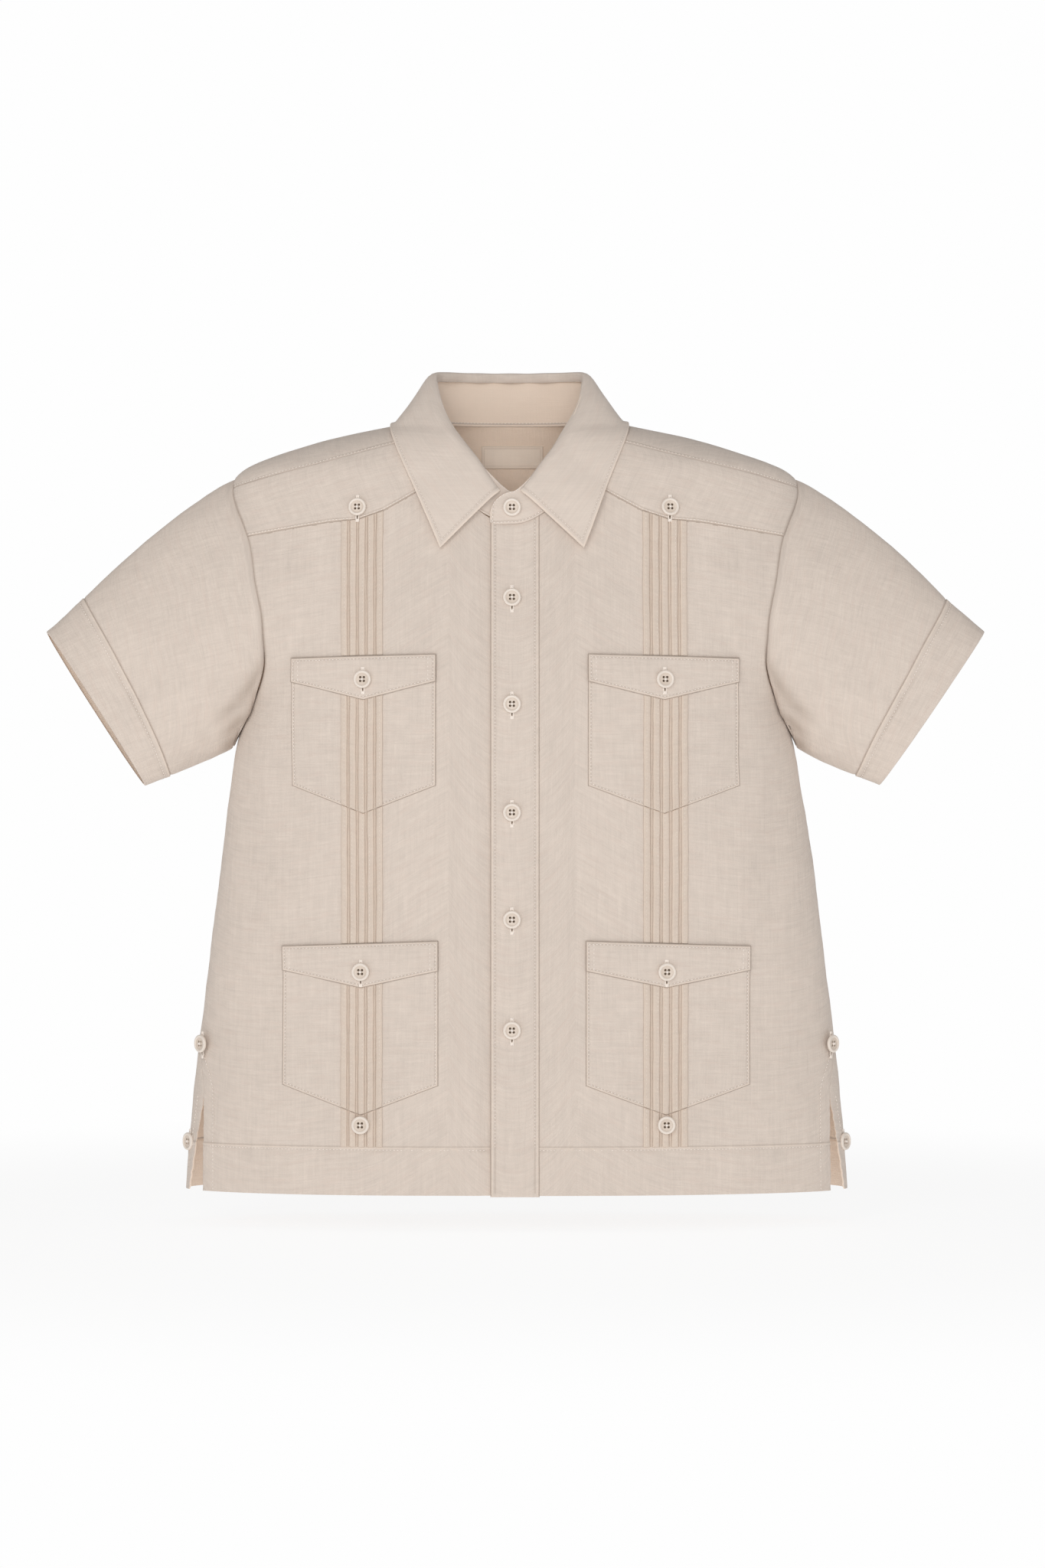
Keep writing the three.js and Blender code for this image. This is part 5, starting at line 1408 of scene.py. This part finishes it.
# The button's profile from its back to its middle: radius and height.
BUTTON_PROFILE = [
    (0, 0), (4.4, 0), (5.1, 0.15), (5.55, 0.55), (5.7, 1.1), (5.62, 1.65), (5.35, 2.1), (4.95, 2.3),
    (4.6, 2.3), (4.25, 2.15), (3.95, 1.85), (3.6, 1.65), (3.1, 1.57), (1.6, 1.53), (0, 1.52),
]


def button_template():
    rings, steps = BUTTON_PROFILE[1:-1], 44
    angles = np.arange(steps) * 2 * math.pi / steps
    points = [(0, 0, BUTTON_PROFILE[0][1]), (0, 0, BUTTON_PROFILE[-1][1])]
    for radius, height in rings:
        points += [(radius * math.cos(a), radius * math.sin(a), height) for a in angles]
    faces = []
    last = 2 + (len(rings) - 1) * steps
    for i in range(steps):
        j = (i + 1) % steps
        faces.append((0, 2 + j, 2 + i))
        faces.append((1, last + i, last + j))
        for r in range(len(rings) - 1):
            a = 2 + r * steps
            faces.append((a + i, a + j, a + steps + j, a + steps + i))
    mesh = bpy.data.meshes.new("button_shape")
    mesh.from_pydata((np.array(points) * MM).tolist(), [], faces)
    disc = bpy.data.objects.new("button_shape", mesh)
    bpy.context.scene.collection.objects.link(disc)
    cutters = []
    for k in range(4):
        angle = math.pi / 4 + k * math.pi / 2
        reach = BUTTON_HOLE_AT * math.sqrt(2) * MM
        bpy.ops.mesh.primitive_cylinder_add(
            vertices=16, radius=BUTTON_HOLE_R * MM, depth=0.02,
            location=(reach * math.cos(angle), reach * math.sin(angle), 0),
        )
        cutters.append(bpy.context.object)
    for cutter in cutters:
        cut = disc.modifiers.new("hole", "BOOLEAN")
        cut.operation, cut.solver, cut.object = "DIFFERENCE", "EXACT", cutter
    bpy.context.view_layer.update()
    shape = bpy.data.meshes.new_from_object(disc.evaluated_get(bpy.context.evaluated_depsgraph_get()))
    for obj in (*cutters, disc):
        bpy.data.objects.remove(obj)
    shape.materials.clear()
    shape.materials.append(BUTTON_MAT)
    shape.materials.append(BUTTON_RIM_HIGHLIGHT_MAT)
    # Faces out past the rim's radius take the lighter rim material, a painted highlight.
    for face in shape.polygons:
        face.material_index = int(face.center.xy.length > BUTTON_RIM_R * MM)
    shape.shade_smooth()
    shape.set_sharp_from_angle(angle=math.radians(42))
    return shape


BUTTON_SHAPE = button_template()


def cross_stitch(origin, right, up, out):
    """The thread through a button's holes: two crossed, padded strands."""
    t = np.linspace(0, 1, 9)[:, None]
    rise = 1.5 + 0.85 * np.sin(math.pi * t) ** 0.7
    reach = BUTTON_HOLE_AT * 0.78
    for a, b in (((-1, -1), (1, 1)), ((-1, 1), (1, -1))):
        start, end = (origin + (right * c[0] + up * c[1]) * reach for c in (a, b))
        path = lerp(start, end, t) + out * rise
        for shift in (-0.2, 0.2):
            aside = np.cross(end - start, out) * shift / reach / 2.8
            sew(path + aside, np.tile(out, (9, 1)), length=20, gap=-0.2, half=0.27, high=0.3)
    knot = np.array([origin + right * a + out * 2.15 for a in (-0.95, 0, 0.95)])
    sew(knot, np.tile(out, (3, 1)), length=20, gap=-0.2, half=0.8, high=0.6)
    # A dark patch of painted shade behind the button's holes.
    corners = ((-1, -1), (1, -1), (1, 1), (-1, 1))
    hole_shades.append([origin + right * (2.3 * a) + up * (2.3 * b) + out * 0.35 for a, b in corners])


def button(name, origin, out, up=(0, 0, 1)):
    """A button whose back is at origin, with its thread."""
    out = np.asarray(out, float) / np.linalg.norm(out)
    right = np.cross(up, out)
    right /= np.linalg.norm(right)
    up = np.cross(out, right)
    shape = BUTTON_SHAPE.copy()
    matrix = np.eye(4)
    matrix[:3, 0], matrix[:3, 1], matrix[:3, 2], matrix[:3, 3] = right, up, out, origin * MM
    shape.transform(Matrix(matrix.tolist()))
    obj = bpy.data.objects.new(f"button_{name}", shape)
    bpy.context.scene.collection.objects.link(obj)
    placed(obj, f"button_{name}")
    cross_stitch(origin, right, up, out)


def buttonhole(place, normal):
    """What shows of a worked buttonhole past its button. place(across, up) is a point on the cloth."""
    for end, way in ((BUTTONHOLE_TOP, -1), (BUTTONHOLE_LOW, 1)):
        for k in range(5):
            path = np.array([place(a, end + way * 0.36 * k) + normal * 0.12 for a in (-1.6, 0, 1.6)])
            sew(path, np.tile(normal, (3, 1)), length=5, gap=-0.3, half=0.26, high=0.34)
        for side in (-1, 1):
            for k in range(8):
                up = end + way * (1.5 + 0.36 * k)
                path = np.array([place(side * a, up) + normal * 0.1 for a in (0.35, 1.4)])
                sew(path, np.tile(normal, (2, 1)), length=5, gap=-0.1, half=0.22, high=0.3)
    # A dark patch of painted shade inside the slit, below the button.
    corners = ((-0.5, -5.2), (-0.25, -7.3), (0.25, -7.3), (0.5, -5.2))
    hole_shades.append([place(a, up) + normal * 0.22 for a, up in corners])


def front_button(name, x, z, lift, holed=True):
    turn = turn_at(x, z)
    normal = body_normal(turn, z)
    button(name, lifted(turn, z, lift + 0.25), normal)
    if holed:
        buttonhole(lambda a, up: on_front(x + a, z + up, lift), normal)


def buttons():
    on_placket, on_flap = PATCH_LIFT + PLACKET_THICK, FLAP_LOW + FLAP_THICK
    for i, z in enumerate(FRONT_BUTTON_Z):
        front_button(f"front_{i + 1}", 0, z, on_placket)
    low, high = stand_base(180.0), fold_point(180.0)
    rise = high - low
    facing = np.array((0, -rise[2], rise[1]))
    button("collar", lerp(low, high, 0.52) + (0, -float(lap(np.float64(179))) - 0.5, 0), facing)
    for name, sign in SIDES.items():
        front_button(f"yoke_{name}", sign * YOKE_BUTTON[0], YOKE_BUTTON[1], YOKE_LIFT)
        for kind, p in POCKETS.items():
            front_button(f"{kind}_{name}", sign * p["point_x"], p["button_z"], on_flap)
        waist = POCKETS["waist"]
        front_button(f"point_{name}", sign * waist["point_x"], waist["point"] - POINT_BUTTON_DROP, 1.2, False)
        for kind, x, y, z, turn in SIDE_BUTTONS:
            out = np.array((sign * float(sind(turn)), -float(cosd(turn)), 0))
            origin = np.array((sign * x + DRIFT_HEM, y, z))
            button(f"vent_{kind}_{name}", origin, out)
            right = np.cross((0, 0, 1), out)

            def place(a, up, origin=origin, right=right, out=out):
                return origin + right * a + np.array((0, 0, up)) - out * 0.5

            buttonhole(place, out)


def loose_mesh(name, points, faces, material):
    mesh = bpy.data.meshes.new(name)
    mesh.from_pydata((np.asarray(points) * MM).tolist(), [], faces)
    mesh.materials.append(material)
    mesh.shade_smooth()
    obj = bpy.data.objects.new(name, mesh)
    bpy.context.scene.collection.objects.link(obj)
    return placed(obj)


# ---------------------------------------------------------------- the shirt
back_panel()
back_yoke()
placket()
for side_name, side_sign in SIDES.items():
    front_panel(side_name, side_sign)
    front_yoke(side_name, side_sign)
    front_tucks(side_name, side_sign)
    pocket(side_name, side_sign, "chest")
    pocket(side_name, side_sign, "waist")
    sleeve(side_name)
collar_stand()
collar_leaf()
label()
buttons()
loose_mesh("stitches", np.concatenate(stitches["points"]), stitches["faces"], THREAD_MAT)
# The dark patches of painted shade in buttonholes and behind buttons' holes.
hole_shade_faces = [[4 * i, 4 * i + 1, 4 * i + 2, 4 * i + 3] for i in range(len(hole_shades))]
loose_mesh("buttonhole_painted_shades", np.array(hole_shades).reshape(-1, 3), hole_shade_faces, HOLE_SHADE_MAT)

# ---------------------------------------------------------------- camera, light and floor
scene = bpy.context.scene
camera_data = bpy.data.cameras.new("camera")
camera_data.sensor_width, camera_data.lens = SENSOR_WIDTH, LENS
camera = bpy.data.objects.new("camera", camera_data)
scene.collection.objects.link(camera)
camera.location = CAMERA_PLACE
camera.rotation_euler = (math.radians(90), 0, 0)
scene.camera = camera


def area_light(name, location, target, size, watts, colour=(1, 1, 1)):
    data = bpy.data.lights.new(name, "AREA")
    data.shape, data.size, data.energy, data.color = "SQUARE", size, watts, colour
    light = bpy.data.objects.new(name, data)
    scene.collection.objects.link(light)
    light.location = location
    way = Vector(target) - Vector(location)
    light.rotation_euler = way.to_track_quat("-Z", "Y").to_euler()
    return light


area_light("key", (-0.9, -2.5, 1.0), (0, 0, -0.2), 1.0, KEY_WATTS, (1, 0.985, 0.965))
area_light("fill", (0.15, -2.95, 0.04), (0, 0, -0.15), 1.1, FILL_WATTS)

# The world is white behind the shirt, and dimmer where it lights the shirt.
world = bpy.data.worlds.new("studio")
scene.world = world
world.use_nodes = True
world_nodes, world_links = world.node_tree.nodes, world.node_tree.links
seen = world_nodes.new("ShaderNodeLightPath")
level = world_nodes.new("ShaderNodeMapRange")
level.inputs["To Min"].default_value = AMBIENT
level.inputs["To Max"].default_value = BACKGROUND
world_links.new(seen.outputs["Is Camera Ray"], level.inputs["Value"])
world_links.new(level.outputs[0], world_nodes["Background"].inputs["Strength"])
world_nodes["Background"].inputs["Color"].default_value = (1, 1, 1, 1)

# A pale floor that fades into the white round the shirt's soft shadow.
floor_mesh = bpy.data.meshes.new("floor")
reach = 6.0
corners = [(-reach, -reach, 0), (reach, -reach, 0), (reach, reach, 0), (-reach, reach, 0)]
floor_mesh.from_pydata(corners, [], [(0, 1, 2, 3)])
floor = bpy.data.objects.new("floor", floor_mesh)
scene.collection.objects.link(floor)
floor.location = (0, 0, FLOOR_Z * MM)
t = Tree("floor_paint")
place = t.add("ShaderNodeTexCoord").outputs["Object"]
spot = t.add("ShaderNodeVectorMath", {0: place}, operation="LENGTH")
fade_inputs = {"Value": spot.outputs["Value"], "From Min": 0.35, "From Max": 0.95}
fade = t.add("ShaderNodeMapRange", fade_inputs, interpolation_type="SMOOTHSTEP").outputs[0]
white = (1, 1, 1)
t.set(Base_Color=t.mix(fade, shade(white, FLOOR_PAINT), (0, 0, 0, 1)))
glow = t.mix(fade, shade(white, FLOOR_GLOW), shade(white, BACKGROUND))
t.set(Emission_Color=glow, Emission_Strength=1.0, Roughness=0.95, Specular_IOR_Level=0.0)
floor_mesh.materials.append(t.material)

scene.view_settings.view_transform = "Standard"
